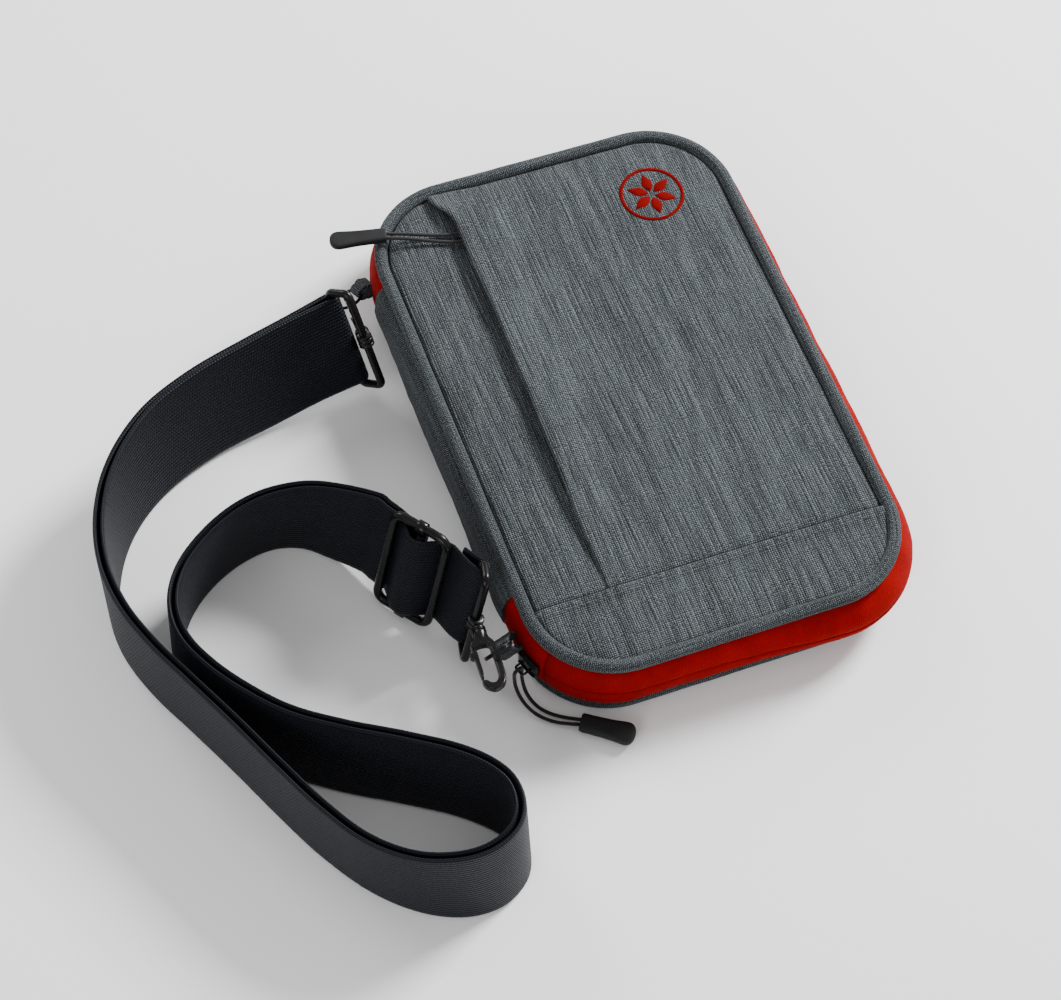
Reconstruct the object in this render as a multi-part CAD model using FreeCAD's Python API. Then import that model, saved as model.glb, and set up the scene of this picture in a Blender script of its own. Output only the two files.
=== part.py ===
import FreeCAD, Part
import math
import os

# Compact zip case with a webbing shoulder strap, lying on its back. Millimetres, +Z up.
# Origin: middle of the case's flat back, on the surface that it lies on. X runs across the case
# (the fabric spine is on the -X side), Y along it.

V = FreeCAD.Vector

# ---- driving dimensions ----
CASE_W = 138.0          # over the piping
CASE_L = 210.0          # over the piping
CORNER_R = 32.0         # plan radius of the corners, over the piping
PIPE_R = 2.4            # fabric-covered piping
BACK_PIPE_Z = 2.5       # height of the lower piping's centre line
FRONT_PIPE_Z = 28.6     # height of the upper piping's centre line
BOARD_EDGE = 27.0       # stiffening boards, distance from the corner centres
PANEL_EDGE = 26.6       # outer fabric panels
SHEET = 1.2             # fabric panel thickness
ZIP_Z = 15.55           # height of the zip's parting line
ZIP_GAP = 0.9           # gap between the two halves of the zip
SPINE_Y = (-64.0, 70.0)  # fabric spine, from end to end
ZIP_END_DEG = 30.0      # part of each spine-side corner where the zip doesn't open

FLAP_EDGE_X = -38.5     # folded edge of the pocket flap
FLAP_FLAT_X = -14.0     # from here the flap lies flat on the board
FLAP_LIFT = 31.5        # underside of the flap over the pocket zip
BAND_Y = -74.0          # folded edge of the bottom band
POCKET_ZIP_X = -30.0
POCKET_SLIDER_Y = 78.0

WEB_W = 37.0            # strap webbing
WEB_T = 1.5
LOOP_WIRE_R = 1.5       # wire of the strap loops on the hooks
LOOP_DEPTH = 8.8        # between the centre lines of a loop's two long bars
LOOP_HALF = 20.2        # half the length of a loop's long bars, on the centre line
HOOK_T = 3.2            # thickness of the hook casting at its socket
CLAW_T = 2.6            # thickness of the hook itself
CLAW_START = 3.3        # from the loop's outer bar to the claw
CLAW_LENGTH = 27.0
RING_R = 5.2            # split rings, mean radius
RING_WIRE_R = 0.65
CORD_R = 0.65           # pull cords

HX = CASE_W / 2 - CORNER_R
HY = CASE_L / 2 - CORNER_R
PIPE_U = CORNER_R - PIPE_R
CORNER_CENTRES = {0: (HX, HY), 90: (-HX, HY), 180: (-HX, -HY), 270: (HX, -HY)}
Z_AXIS = V(0, 0, 1)


# ---- building blocks ----
def polygon(points):
    """Face through points given as vectors."""
    return Part.Face(Part.makePolygon(points + [points[0]]))


def prism(points, z0, z1):
    """Upright prism of a plan outline."""
    return polygon([V(x, y, z0) for x, y in points]).extrude(V(0, 0, z1 - z0))


def plate(u, z0, z1):
    """Flat plate of the case's rounded outline, its edge u from the corner centres."""
    body = Part.makeBox(2 * (HX + u), 2 * HY, z1 - z0, V(-HX - u, -HY, z0))
    ends = Part.makeBox(2 * HX, 2 * (HY + u), z1 - z0, V(-HX, -HY - u, z0))
    corners = [Part.makeCylinder(u, z1 - z0, V(x, y, z0)) for x, y in CORNER_CENTRES.values()]
    return body.multiFuse([ends] + corners).removeSplitter()


def section(points):
    """Face in the XZ plane from (u, z) points, u being the distance out from the corner centres."""
    return polygon([V(u, 0, z) for u, z in points])


def corner_stretch(angle, lo, hi):
    """Stretch of the case's edge round a corner, between two bearings in degrees."""
    return ("corner", angle, lo, hi)


def side_stretch(angle, lo=None, hi=None):
    """Straight stretch of the case's edge on the side that faces a bearing."""
    reach = HY if angle in (0, 180) else HX
    return ("side", angle, -reach if lo is None else lo, reach if hi is None else hi)


def rim(face, stretches):
    """Sweeps a section along stretches of the case's edge."""
    pieces = []
    for kind, angle, lo, hi in stretches:
        piece = face.copy()
        if kind == "corner":
            piece = piece.revolve(V(0, 0, 0), Z_AXIS, hi - lo)
            piece.rotate(V(0, 0, 0), Z_AXIS, lo)
            piece.translate(V(*CORNER_CENTRES[angle], 0))
        else:
            piece.translate(V(HX if angle in (0, 180) else HY, lo, 0))
            piece = piece.extrude(V(0, hi - lo, 0))
            piece.rotate(V(0, 0, 0), Z_AXIS, angle)
        pieces.append(piece)
    return pieces[0].multiFuse(pieces[1:]).removeSplitter() if len(pieces) > 1 else pieces[0]


ALL_ROUND = [corner_stretch(a, a, a + 90) for a in (0, 90, 180, 270)]
ALL_ROUND += [side_stretch(a) for a in (0, 90, 180, 270)]
ZIP_SIDES = {"right": side_stretch(0), "top": side_stretch(90), "bottom": side_stretch(270)}
ZIP_CORNERS = [corner_stretch(90, 90, 180 - ZIP_END_DEG), corner_stretch(0, 0, 90),
               corner_stretch(270, 270, 360), corner_stretch(180, 180 + ZIP_END_DEG, 270)]
ZIP_RUN = ZIP_CORNERS + list(ZIP_SIDES.values())
END_CUT_DEG = 0.6       # leaves a hair gap between the opening and the fixed stretches
TOP_END = [corner_stretch(90, 180 - ZIP_END_DEG + END_CUT_DEG, 180),
           side_stretch(180, -HY, -SPINE_Y[1] - 0.3)]
LOW_END = [side_stretch(180, -SPINE_Y[0] + 0.3, HY),
           corner_stretch(180, 180, 180 + ZIP_END_DEG - END_CUT_DEG)]


def frame_at(origin, along, across):
    """Placement with local X along 'along', local Y close to 'across'."""
    x = V(along).normalize()
    z = x.cross(V(across)).normalize()
    y = z.cross(x)
    matrix = FreeCAD.Matrix(x.x, y.x, z.x, origin.x, x.y, y.y, z.y, origin.y,
                            x.z, y.z, z.z, origin.z, 0, 0, 0, 1)
    return FreeCAD.Placement(matrix)


def placed(shape, placement):
    """Copy of a shape built at the origin, moved to its place."""
    copy = shape.copy()
    copy.Placement = placement.multiply(copy.Placement)
    return copy


def rounded_wire(x0, x1, y, bend):
    """Closed rounded rectangle in the XY plane, from x0 to x1 and from -y to y."""
    s = bend * (1 - math.sqrt(0.5))
    line = Part.LineSegment
    edges = [line(V(x0 + bend, -y, 0), V(x1 - bend, -y, 0)),
             Part.Arc(V(x1 - bend, -y, 0), V(x1 - s, -y + s, 0), V(x1, -y + bend, 0)),
             line(V(x1, -y + bend, 0), V(x1, y - bend, 0)),
             Part.Arc(V(x1, y - bend, 0), V(x1 - s, y - s, 0), V(x1 - bend, y, 0)),
             line(V(x1 - bend, y, 0), V(x0 + bend, y, 0)),
             Part.Arc(V(x0 + bend, y, 0), V(x0 + s, y - s, 0), V(x0, y - bend, 0)),
             line(V(x0, y - bend, 0), V(x0, -y + bend, 0)),
             Part.Arc(V(x0, -y + bend, 0), V(x0 + s, -y + s, 0), V(x0 + bend, -y, 0))]
    return Part.Wire([e.toShape() for e in edges])


def rod_along(wire, radius):
    """Round rod along a wire whose first edge starts straight."""
    start = wire.OrderedEdges[0]
    origin = start.valueAt(start.FirstParameter)
    direction = start.tangentAt(start.FirstParameter)
    circle = Part.Wire([Part.Circle(origin, direction, radius).toShape()])
    return wire.makePipeShell([circle], True, True)


def arc_route(route):
    """Wire of straight runs joined by tangent arcs through hand-placed points; also its radii."""
    points = [V(*p) for p in route]
    edges, radii, last = [], [], points[0]
    for before, here, after in zip(points, points[1:], points[2:]):
        a, b = (before - here), (after - here)
        turn = math.pi - a.getAngle(b)
        cut = 0.45 * min(a.Length, b.Length)
        radius = cut / math.tan(turn / 2)
        radii.append(round(radius, 1))
        start = here + V(a).normalize() * cut
        end = here + V(b).normalize() * cut
        inward = (V(a).normalize() + V(b).normalize()).normalize()
        middle = here + inward * (radius / math.cos(turn / 2) - radius)
        edges += [Part.LineSegment(last, start).toShape(), Part.Arc(start, middle, end).toShape()]
        last = end
    edges.append(Part.LineSegment(last, points[-1]).toShape())
    return Part.Wire(edges), radii


# ---- back half ----
TAPE = [(27.2, 25.0), (27.2, 26.1), (30.6, 26.1), (32.8, 23.8), (34.0, 20.6),
        (34.3, ZIP_Z + ZIP_GAP / 2), (33.1, ZIP_Z + ZIP_GAP / 2), (32.8, 20.4), (31.7, 23.1), (30.0, 25.0)]
COIL = [(31.6, ZIP_Z + ZIP_GAP / 2), (32.8, ZIP_Z + ZIP_GAP / 2), (32.8, 18.2), (31.6, 18.2)]


def mirrored(points):
    """The same section on the other side of the zip's parting line."""
    return [(u, 2 * ZIP_Z - z) for u, z in points]


def spine_cover():
    """Fabric of the spine: bulges out between the two pipings and is sewn in under the back board."""
    outer = [(27.2, 5.0), (30.6, 5.0), (33.6, 7.2), (35.3, 11.5), (35.3, 19.6), (33.6, 24.0), (31.8, 26.0)]
    inner = [(30.8, 25.2), (32.5, 23.2), (34.1, 19.2), (34.1, 11.9), (32.6, 8.0), (30.2, 6.2), (27.2, 6.2)]
    return rim(section(outer + inner), [side_stretch(180, -SPINE_Y[1], -SPINE_Y[0])])


def spine_lining():
    """Stiff lining strip inside the spine."""
    strip = [(31.2, 9.0), (32.4, 9.0), (33.7, 12.0), (33.7, 19.0), (32.6, 21.8), (31.4, 21.8),
             (32.5, 18.7), (32.5, 12.3)]
    return rim(section(strip), [side_stretch(180, -SPINE_Y[1] + 2, -SPINE_Y[0] - 2)])


def zip_stop(angle):
    """Small moulded block that ends the coil, beside the spine."""
    block = section([(31.4, 12.6), (32.9, 12.6), (32.9, ZIP_Z - ZIP_GAP / 2), (31.4, ZIP_Z - ZIP_GAP / 2)])
    lo, hi = (SPINE_Y[0] - 3.5, SPINE_Y[0] - 0.8) if angle < 0 else (SPINE_Y[1] + 0.8, SPINE_Y[1] + 2.6)
    return rim(block, [side_stretch(180, -hi, -lo)])


# ---- front cover ----
def clipped(shape):
    """Trims a panel to the outline of the outer panels."""
    return shape.common(plate(PANEL_EDGE, 20, 45))


def left_panel():
    z = FRONT_PIPE_Z - 0.2
    half = HX + PANEL_EDGE
    outline = [(-half, BAND_Y - 3), (-35.5, BAND_Y - 3), (-35.5, 110), (-half, 110)]
    return clipped(prism(outline, z, z + SHEET))


def flap_panel():
    """Right panel: flat on the board, raised over the pocket zip, with a thick folded edge."""
    flat = FRONT_PIPE_Z - 0.2
    right = HX + PANEL_EDGE + 1
    sections = []
    for y, lift in ((BAND_Y - 3, 0.3), (-22.0, FLAP_LIFT - flat), (92.0, FLAP_LIFT - flat), (101.0, 1.6)):
        low = flat + lift + (0.9 if lift < 1 else 0)
        points = [(FLAP_EDGE_X, low), (-23.0, low), (FLAP_FLAT_X, flat), (right, flat),
                  (right, flat + SHEET), (FLAP_FLAT_X - 0.3, flat + SHEET), (-23.3, low + SHEET),
                  (FLAP_EDGE_X, low + SHEET)]
        sections.append(Part.makePolygon([V(x, y, z) for x, z in points + [points[0]]]))
    return clipped(Part.makeLoft(sections, True, True))


def bottom_band():
    """Band across the foot of the cover, its upper edge folded over the two panels."""
    half = HX + PANEL_EDGE
    low, high = FRONT_PIPE_Z - 0.2, FRONT_PIPE_Z - 0.2 + SHEET
    base = prism([(-half, -110), (half, -110), (half, BAND_Y - 3.3), (-half, BAND_Y - 3.3)], low, high)
    lap_low = 31.1
    lap = prism([(-half, BAND_Y - 5.5), (half, BAND_Y - 5.5), (half, BAND_Y), (-half, BAND_Y)],
                lap_low, lap_low + 0.9)
    step = [(-half, BAND_Y - 5.5), (half, BAND_Y - 5.5), (half, BAND_Y - 3.3), (-half, BAND_Y - 3.3)]
    riser = prism(step, high, lap_low)
    return clipped(base.fuse(riser).fuse(lap).removeSplitter())


def rosette():
    """Six-petalled printed mark: a thin ring round six pointed petals."""
    radius, centre, low, thick = 12.0, V(37.5, 75.0, 0), FRONT_PIPE_Z + 1.0, 0.25
    ring = Part.makeCylinder(radius, thick).cut(Part.makeCylinder(radius - 1.3, thick))
    reach = radius - 2.0
    lens = Part.makeCylinder(reach, thick, V(reach * math.cos(math.radians(30)), reach / 2, 0)).common(
        Part.makeCylinder(reach, thick, V(reach * math.cos(math.radians(30)), -reach / 2, 0)))
    lens = lens.common(Part.makeBox(reach * 0.80, reach, thick, V(reach * 0.16, -reach / 2, 0)))
    petals = []
    for i in range(6):
        petal = lens.copy()
        petal.rotate(V(0, 0, 0), Z_AXIS, 60 * i)
        petals.append(petal)
    mark = Part.makeCompound([ring] + petals)
    mark.translate(centre + V(0, 0, low))
    return mark


def inner_pocket():
    """Slip pocket sewn to the cover's lining, open towards the spine."""
    return prism([(-34, -88), (56, -88), (56, 88), (-34, 88)], 24.2, 25.1)


def pocket_tape():
    """Pocket zip: two tapes with the slider's slot between them."""
    low = FRONT_PIPE_Z - 0.2
    tapes = [Part.makeBox(5.0, 160.0, 0.8, V(POCKET_ZIP_X - 5.3, -72.0, low)),
             Part.makeBox(5.0, 160.0, 0.8, V(POCKET_ZIP_X + 0.3, -72.0, low))]
    return Part.makeCompound(tapes)


# ---- zip sliders and their pulls ----
SLIDER_DEG = 200.0      # where the main slider is parked, as a bearing from the corner's centre
SLIDER_SPAN = 15.0


def curved_block(u0, u1, z0, z1, span):
    """Block that follows the corner, centred on the slider's bearing."""
    face = section([(u0, z0), (u1, z0), (u1, z1), (u0, z1)])
    return rim(face, [corner_stretch(180, SLIDER_DEG - span / 2, SLIDER_DEG + span / 2)])


LUG_U = 39.3            # the bar of the slider's lug that the pull hangs from


def main_slider():
    """Slider: a plate on each face of the zip, joined by a neck, with a lug for the pull."""
    outer = curved_block(34.6, 35.7, 12.0, 19.1, SLIDER_SPAN)
    inner = curved_block(30.0, 31.2, 12.0, 19.1, SLIDER_SPAN * 0.8)
    neck = curved_block(31.1, 34.7, ZIP_Z - 0.15, ZIP_Z + 0.15, SLIDER_SPAN * 0.5)
    lug = curved_block(35.6, LUG_U + 0.35, ZIP_Z - 0.45, ZIP_Z + 0.45, SLIDER_SPAN * 0.5)
    hole = curved_block(36.3, LUG_U - 0.35, 14.0, 17.0, SLIDER_SPAN * 0.3)
    return outer.multiFuse([inner, neck, lug.cut(hole)]).removeSplitter()


def pull_tab(length, width, thick):
    """Moulded pull: a slim bar with a waist and a round bulb at its far end, along +X."""
    neck = Part.makeBox(length * 0.75, width * 0.72, thick * 0.8,
                        V(0, -width * 0.36, -thick * 0.4))
    bulb = Part.makeCylinder(width / 2, thick, V(length - width / 2, 0, -thick / 2))
    shoulder = Part.makeBox(length * 0.24, width * 0.86, thick, V(0, -width * 0.43, -thick / 2))
    return neck.multiFuse([bulb, shoulder]).removeSplitter()


# Cord of the main pull: out of the tab, up through the slider's lug, over its bar and back down.
MAIN_CORD = [(-56.6, -105.4, 3.2), (-60.6, -103.0, 2.4), (-65.4, -99.6, 1.6), (-69.6, -95.6, 2.2),
             (-72.2, -91.2, 5.2), (-72.8, -87.6, 9.4), (-72.6, -85.95, 13.4), (-72.6, -85.95, 17.25),
             (-75.7, -87.1, 17.25), (-75.7, -87.1, 13.4), (-75.8, -89.2, 9.4), (-74.4, -93.4, 5.2),
             (-71.2, -97.8, 2.2), (-66.6, -101.8, 1.6), (-61.6, -104.9, 2.4), (-57.4, -106.9, 3.2)]
MAIN_TAB_FROM, MAIN_TAB_TO = V(-58.0, -105.7, 3.2), V(-42.6, -116.6, 3.2)

# Cord of the pocket pull: round a post on the slider, under the flap and out over the piping.
POCKET_CORD = [(-62.6, 87.2, 33.6), (-56.4, 85.9, 32.7), (-49.0, 83.8, 31.4), (-41.6, 81.7, 30.55),
               (-35.0, 80.4, 30.55), (-29.1, 80.1, 30.55), (-28.9, 76.0, 30.55), (-34.9, 76.5, 30.55),
               (-41.8, 78.6, 30.55), (-49.3, 81.4, 31.4), (-56.8, 84.0, 32.7), (-62.9, 85.3, 33.6)]
POCKET_TAB_FROM, POCKET_TAB_TO = V(-62.2, 86.1, 33.9), V(-82.0, 89.4, 34.6)


def pocket_slider():
    """Slider plate over the pocket zip, with the post that its cord loops round."""
    x, y, low = POCKET_ZIP_X, POCKET_SLIDER_Y, FRONT_PIPE_Z + 0.75
    body = Part.makeBox(6.4, 9.0, 0.3, V(x - 3.2, y - 4.5, low))
    post = Part.makeCylinder(0.8, 1.7, V(-31.3, 78.05, low))
    return body.fuse(post).removeSplitter()


# ---- hooks, rings and strap hardware ----
ADJUSTER_CENTRE = V(-96.5, -41.4, 22.9)
ADJUSTER_ALONG = V(0.6, -0.8, 0)
ADJUSTER_UP = V(0.2, 0.21, 0.957)
ADJUSTER_R = 1.6
ADJUSTER_HALF = 20.9
ADJUSTER_REACH = 10.5
BAR_R = 1.3
LOWER_BAR_AT = (24.0, -1.4)     # lower hook's loop in the adjuster's frame: along it, and off its plane


def adjuster_place():
    return frame_at(ADJUSTER_CENTRE, ADJUSTER_ALONG, ADJUSTER_UP)


LOWER_BAR = adjuster_place().multVec(V(LOWER_BAR_AT[0], 0, LOWER_BAR_AT[1]))
LOWER_DIR = adjuster_place().Rotation.multVec(V(0, 1, 0))
TIP_RING = V(CLAW_START + CLAW_LENGTH + 0.3, 0.2, 0)
# Each hook: middle of the loop's inner bar, the bar's direction, the way the loop's depth points,
# the claw's axis, the side its gate is on, the split ring's centre in the claw's frame and its axis,
# the side of the ring that the fabric tab holds, and the tab's length.
HOOKS = {"upper": (V(-87.5, 55.9, 22.4), V(-0.163, 0.449, 0.878), V(0.62, -0.63, 0.41),
                   V(0.065, 0.935, -0.344), V(-0.24, 0.43, 0.87),
                   TIP_RING, V(-0.238, 0.448, 0.862), V(1, 0.2, 0), 4.4),
         "lower": (LOWER_BAR, LOWER_DIR, V(-0.234, -0.944, 0.24),
                   V(-0.1, -0.97, 0.2), V(-1, 0.1, 0),
                   V(14.4, -4.4, 0), V(0.266, -0.896, -0.35), V(0.484, 0.444, -0.75), 12.2)}


def square_to(direction, axis):
    """Part of a direction that is square to an axis."""
    unit = V(axis).normalize()
    return direction - unit * direction.dot(unit)


def strap_loop():
    """Rectangular wire loop that holds the webbing. Origin on its inner bar, depth along +X."""
    return rod_along(rounded_wire(0, LOOP_DEPTH, LOOP_HALF, 2.0), LOOP_WIRE_R)


def swivel():
    """Sleeve that turns on the loop's outer bar, with the headed post the claw turns on. Post along +X."""
    sleeve = Part.makeCylinder(2.8, 4.4, V(0, -2.2, 0), V(0, 1, 0))
    post = Part.makeCylinder(1.1, 5.4, V(1.8, 0, 0), V(1, 0, 0))
    head = Part.makeCylinder(1.4, 0.9, V(6.3, 0, 0), V(1, 0, 0))
    body = sleeve.multiFuse([post, head])
    return body.cut(Part.makeCylinder(LOOP_WIRE_R + 0.08, 4.4, V(0, -2.2, 0), V(0, 1, 0))).removeSplitter()


def claw():
    """Cast hook: a socket on the swivel's post, then an oval hook whose +Y side is closed by the gate."""
    s, e, half_t = CLAW_START, CLAW_START + CLAW_LENGTH, HOOK_T / 2
    outline = [(s, -2.4), (s + 5, -2.4), (s + 8, -4.4), (e - 5, -4.4), (e - 1.6, -3.2), (e, -0.6),
               (e, 1.0), (e - 1.6, 3.4), (e - 4.4, 4.4), (e - 4.4, 2.4), (e - 2.9, 1.2), (e - 2.9, -0.6),
               (e - 5.4, -2.0), (s + 9.0, -2.0), (s + 8.0, -1.0), (s + 8.0, 1.8), (s + 9.0, 3.9),
               (s + 7.0, 4.6), (s + 4.6, 2.4), (s, 2.4)]
    body = prism(outline, -half_t, half_t)
    bore = Part.makeCylinder(1.16, 4.0, V(s - 0.5, 0, 0), V(1, 0, 0))
    chamber = Part.makeCylinder(1.48, 1.3, V(6.1, 0, 0), V(1, 0, 0))
    body = body.cut(bore).cut(chamber)
    for z in (CLAW_T / 2, -CLAW_T / 2 - 1):
        body = body.cut(Part.makeBox(CLAW_LENGTH, 12, 1, V(s + 9.5, -6, z)))
    return body.removeSplitter()


def gate():
    """Spring gate on the open side of the hook, with a thumb nub."""
    x0, x1 = CLAW_START + 9.6, CLAW_START + CLAW_LENGTH - 5.7
    bar = Part.makeBox(x1 - x0, 1.5, 2.2, V(x0, 2.7, -1.1))
    nub = Part.makeCylinder(0.9, 2.2, V(x0 + 1.8, 4.6, -1.1))
    return bar.fuse(nub).removeSplitter()


def hook_frames(name):
    """Placements of a hook's loop, its swivel and its claw."""
    bar, bar_dir, depth, axis, gate_side = HOOKS[name][:5]
    loop_frame = frame_at(bar, square_to(depth, bar_dir), bar_dir)
    outer = loop_frame.multVec(V(LOOP_DEPTH, 0, 0))
    axis = square_to(axis, bar_dir)
    return loop_frame, frame_at(outer, axis, bar_dir), frame_at(outer, axis, gate_side)


def ring_frame(name):
    """Centre and axis of a hook's split ring."""
    claw_frame = hook_frames(name)[2]
    centre, normal = HOOKS[name][5:7]
    return claw_frame.multVec(centre), normal


def ring_tab(name):
    """Folded fabric tab: two plies from the case, joined by a bend round the split ring."""
    centre, normal = ring_frame(name)
    side, length = HOOKS[name][7:9]
    outward = square_to(side, normal).normalize()
    anchor = centre + outward * (RING_R + length)
    gap, thick, width = 1.45, 0.8, 4.4
    outer = Part.makeBox(length, width, 2 * (gap + thick), V(0, -width / 2, -gap - thick))
    bend = Part.makeCylinder(gap + thick, width, V(length, -width / 2, 0), V(0, 1, 0))
    slot = Part.makeBox(length, width, 2 * gap, V(0, -width / 2, -gap))
    hole = Part.makeCylinder(gap, width, V(length, -width / 2, 0), V(0, 1, 0))
    tab = outer.fuse(bend).cut(slot).cut(hole).removeSplitter()
    return placed(tab, frame_at(anchor, outward * -1, normal.cross(outward)))


def adjuster_frame():
    """Tri-glide buckle: rounded wire frame that carries the bar the strap's end is sewn round."""
    return rod_along(rounded_wire(-ADJUSTER_REACH, ADJUSTER_REACH, ADJUSTER_HALF, 3.5), ADJUSTER_R)


def adjuster_bar():
    reach = ADJUSTER_HALF - ADJUSTER_R - 0.4
    bar = Part.makeCylinder(BAR_R, 2 * reach, V(0, -reach, 0), V(0, 1, 0))
    collars = []
    for y in (-ADJUSTER_HALF, ADJUSTER_HALF):
        sleeve = Part.makeCylinder(2.3, 3.6, V(-1.8, y, 0), V(1, 0, 0))
        collars.append(sleeve.cut(Part.makeCylinder(ADJUSTER_R + 0.05, 3.6, V(-1.8, y, 0), V(1, 0, 0))))
    return bar.multiFuse(collars).removeSplitter()


# ---- strap ----
# Stations of the doubled webbing: its lower edge x, y, z, the plan shift of its upper edge, and the
# distance of each layer's middle from the doubled strap's.
STRAP = [(-84.5, 47.6, 4.65, -6.03, 16.6, 2.45), (-101.0, 45.4, 3.2, -5.0, 16.2, 1.3),
         (-120.0, 42.0, 1.4, -4.0, 16.0, 1.25),
         (-140.0, 38.2, 0.6, -4.5, 13.8, 1.25), (-157.0, 32.2, 0.4, -6.0, 11.0, 1.25),
         (-171.0, 24.0, 0.4, -5.5, 7.5, 1.25), (-182.0, 13.5, 0.4, -4.5, 4.5, 1.25),
         (-190.0, 0.5, 0.4, -3.0, 2.0, 1.25), (-194.6, -14.0, 0.4, -1.0, 0.5, 1.25),
         (-194.5, -30.0, 0.4, 0.5, 0.2, 1.25), (-189.5, -47.0, 0.4, 1.0, 0.5, 1.25),
         (-181.5, -64.0, 0.4, 1.0, 0.5, 1.25), (-172.5, -83.0, 0.4, 1.0, 0.5, 1.25),
         (-163.5, -103.0, 0.4, 0.8, 0.5, 1.25), (-154.5, -121.5, 0.4, 0.0, 1.5, 1.25),
         (-143.5, -138.5, 0.4, -1.0, 2.5, 1.25), (-131.0, -150.5, 0.4, -1.0, 3.8, 1.25),
         (-118.0, -157.0, 0.4, -0.5, 5.5, 1.25), (-106.0, -157.6, 0.4, -1.0, 6.3, 1.25),
         (-96.6, -152.6, 0.4, -1.4, 6.0, 1.25), (-92.6, -144.5, 0.4, -1.4, 5.6, 1.25),
         (-95.2, -135.2, 0.4, 0.4, 5.8, 1.25), (-107.0, -123.2, 0.4, 3.2, 5.2, 1.25),
         (-124.0, -112.0, 0.4, 3.6, 5.7, 1.25), (-142.0, -101.0, 0.4, 3.6, 5.6, 1.25),
         (-157.0, -89.0, 0.4, 3.2, 4.6, 1.25), (-168.0, -74.5, 0.4, 2.8, 2.8, 1.25),
         (-175.8, -60.0, 0.4, 2.2, 1.2, 1.25), (-179.4, -46.0, 0.4, 1.0, 0.0, 1.25),
         (-178.0, -33.0, 0.4, 0.4, -0.5, 1.25), (-171.5, -22.0, 0.4, 0.0, -0.5, 1.25),
         (-161.0, -13.0, 0.4, 0.0, -0.5, 1.25), (-148.5, -7.0, 0.4, 0.0, 0.0, 1.25),
         (-136.0, -5.0, 0.4, 0.0, 0.6, 1.25), (-125.0, -8.2, 0.4, 2.2, 2.6, 1.25),
         (-117.0, -15.6, 0.8, 4.8, 5.4, 1.25), (-111.6, -23.4, 2.4, 7.4, 7.8, 1.25)]
STRAP_SPLITS = {"strap_hook_run": (0, 8), "strap_front_run": (8, 14), "strap_loop_run": (14, 21),
                "strap_back_run": (21, 27), "strap_curl_run": (27, 36)}
# In the adjuster's own frame: distance along it and height off its plane.
THROUGH_LAYER = [(-19.6, -3.9), (-16.0, -3.1), (-11.6, -2.6), (-9.0, -2.5), (-2.0, 3.8), (2.0, 3.8),
                 (9.0, -2.5), (12.0, -2.6), (15.0, -1.5), (19.5, 0.3), (24.0, 0.95)]
SEWN_LAYER = [(-19.6, -6.4), (-16.0, -5.6), (-11.0, -4.9), (-6.0, -3.6), (-2.5, -2.25), (0.0, -2.15)]
BACK_FLAP = [(24.0, -3.75), (20.5, -3.9), (15.0, -4.3)]


def ribbon_sections(stations, sign):
    """Cross sections of one layer of webbing, square to the strap's run."""
    lows = [V(*station[:3]) for station in stations]
    sections = []
    for i, (x, y, z, sx, sy, offset) in enumerate(stations):
        lean = math.hypot(sx, sy)
        up = V(sx, sy, math.sqrt(WEB_W ** 2 - lean ** 2)).normalize()
        ahead = lows[min(i + 1, len(lows) - 1)] - lows[max(i - 1, 0)]
        side = ahead.cross(up).normalize()
        near = side * (sign * offset - WEB_T / 2)
        far = side * (sign * offset + WEB_T / 2)
        low = lows[i] + V(0, 0, (offset + WEB_T / 2) * lean / WEB_W)
        top = low + up * WEB_W
        corners = [low + near, low + far, top + far, top + near]
        sections.append(Part.makePolygon(corners + [corners[0]]))
    return sections


def strap_run(first, last):
    """Both layers of the doubled strap between two stations."""
    return Part.makeCompound([Part.makeLoft(ribbon_sections(STRAP, sign)[first:last + 1], True, True)
                              for sign in (1, -1)])


def band_through(points):
    """Webbing in the adjuster's frame, through (distance along, height) points."""
    half, stack = WEB_W / 2, []
    for i, (x, z) in enumerate(points):
        x0, z0 = points[max(i - 1, 0)]
        x1, z1 = points[min(i + 1, len(points) - 1)]
        normal = V(z0 - z1, 0, x1 - x0).normalize() * (WEB_T / 2)
        low, high = V(x, 0, z) - normal, V(x, 0, z) + normal
        reach = V(0, half, 0)
        corners = [low - reach, high - reach, high + reach, low + reach]
        stack.append(Part.makePolygon(corners + [corners[0]]))
    return placed(Part.makeLoft(stack, True, True), adjuster_place())


def half_wrap(place, core):
    """Half turn of webbing round a bar along local Y, on the bar's +X side."""
    start = V(0, -WEB_W / 2, 0)
    tube = Part.makeCylinder(core + WEB_T, WEB_W, start, V(0, 1, 0))
    tube = tube.cut(Part.makeCylinder(core, WEB_W, start, V(0, 1, 0)))
    return placed(tube.common(Part.makeBox(20, 60, 20, V(0, -30, -10))), place)


def upper_wrap():
    """The doubled strap's turn round the upper hook's loop."""
    bar, bar_dir = HOOKS["upper"][:2]
    back = V(*STRAP[0][:3]) - V(*STRAP[1][:3])
    return half_wrap(frame_at(bar, square_to(back, bar_dir), bar_dir), LOOP_WIRE_R + 0.1)


def sewn_end():
    """End of the webbing: up to the adjuster's bar and round it."""
    return band_through(SEWN_LAYER), half_wrap(adjuster_place(), BAR_R + 0.1)


def tail_run():
    """Single layer from the adjuster to the lower hook's loop, round it, and its sewn flap."""
    wrap = half_wrap(frame_at(LOWER_BAR, ADJUSTER_ALONG, LOWER_DIR), LOOP_WIRE_R + 0.1)
    return band_through(THROUGH_LAYER), wrap, band_through(BACK_FLAP)


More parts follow.
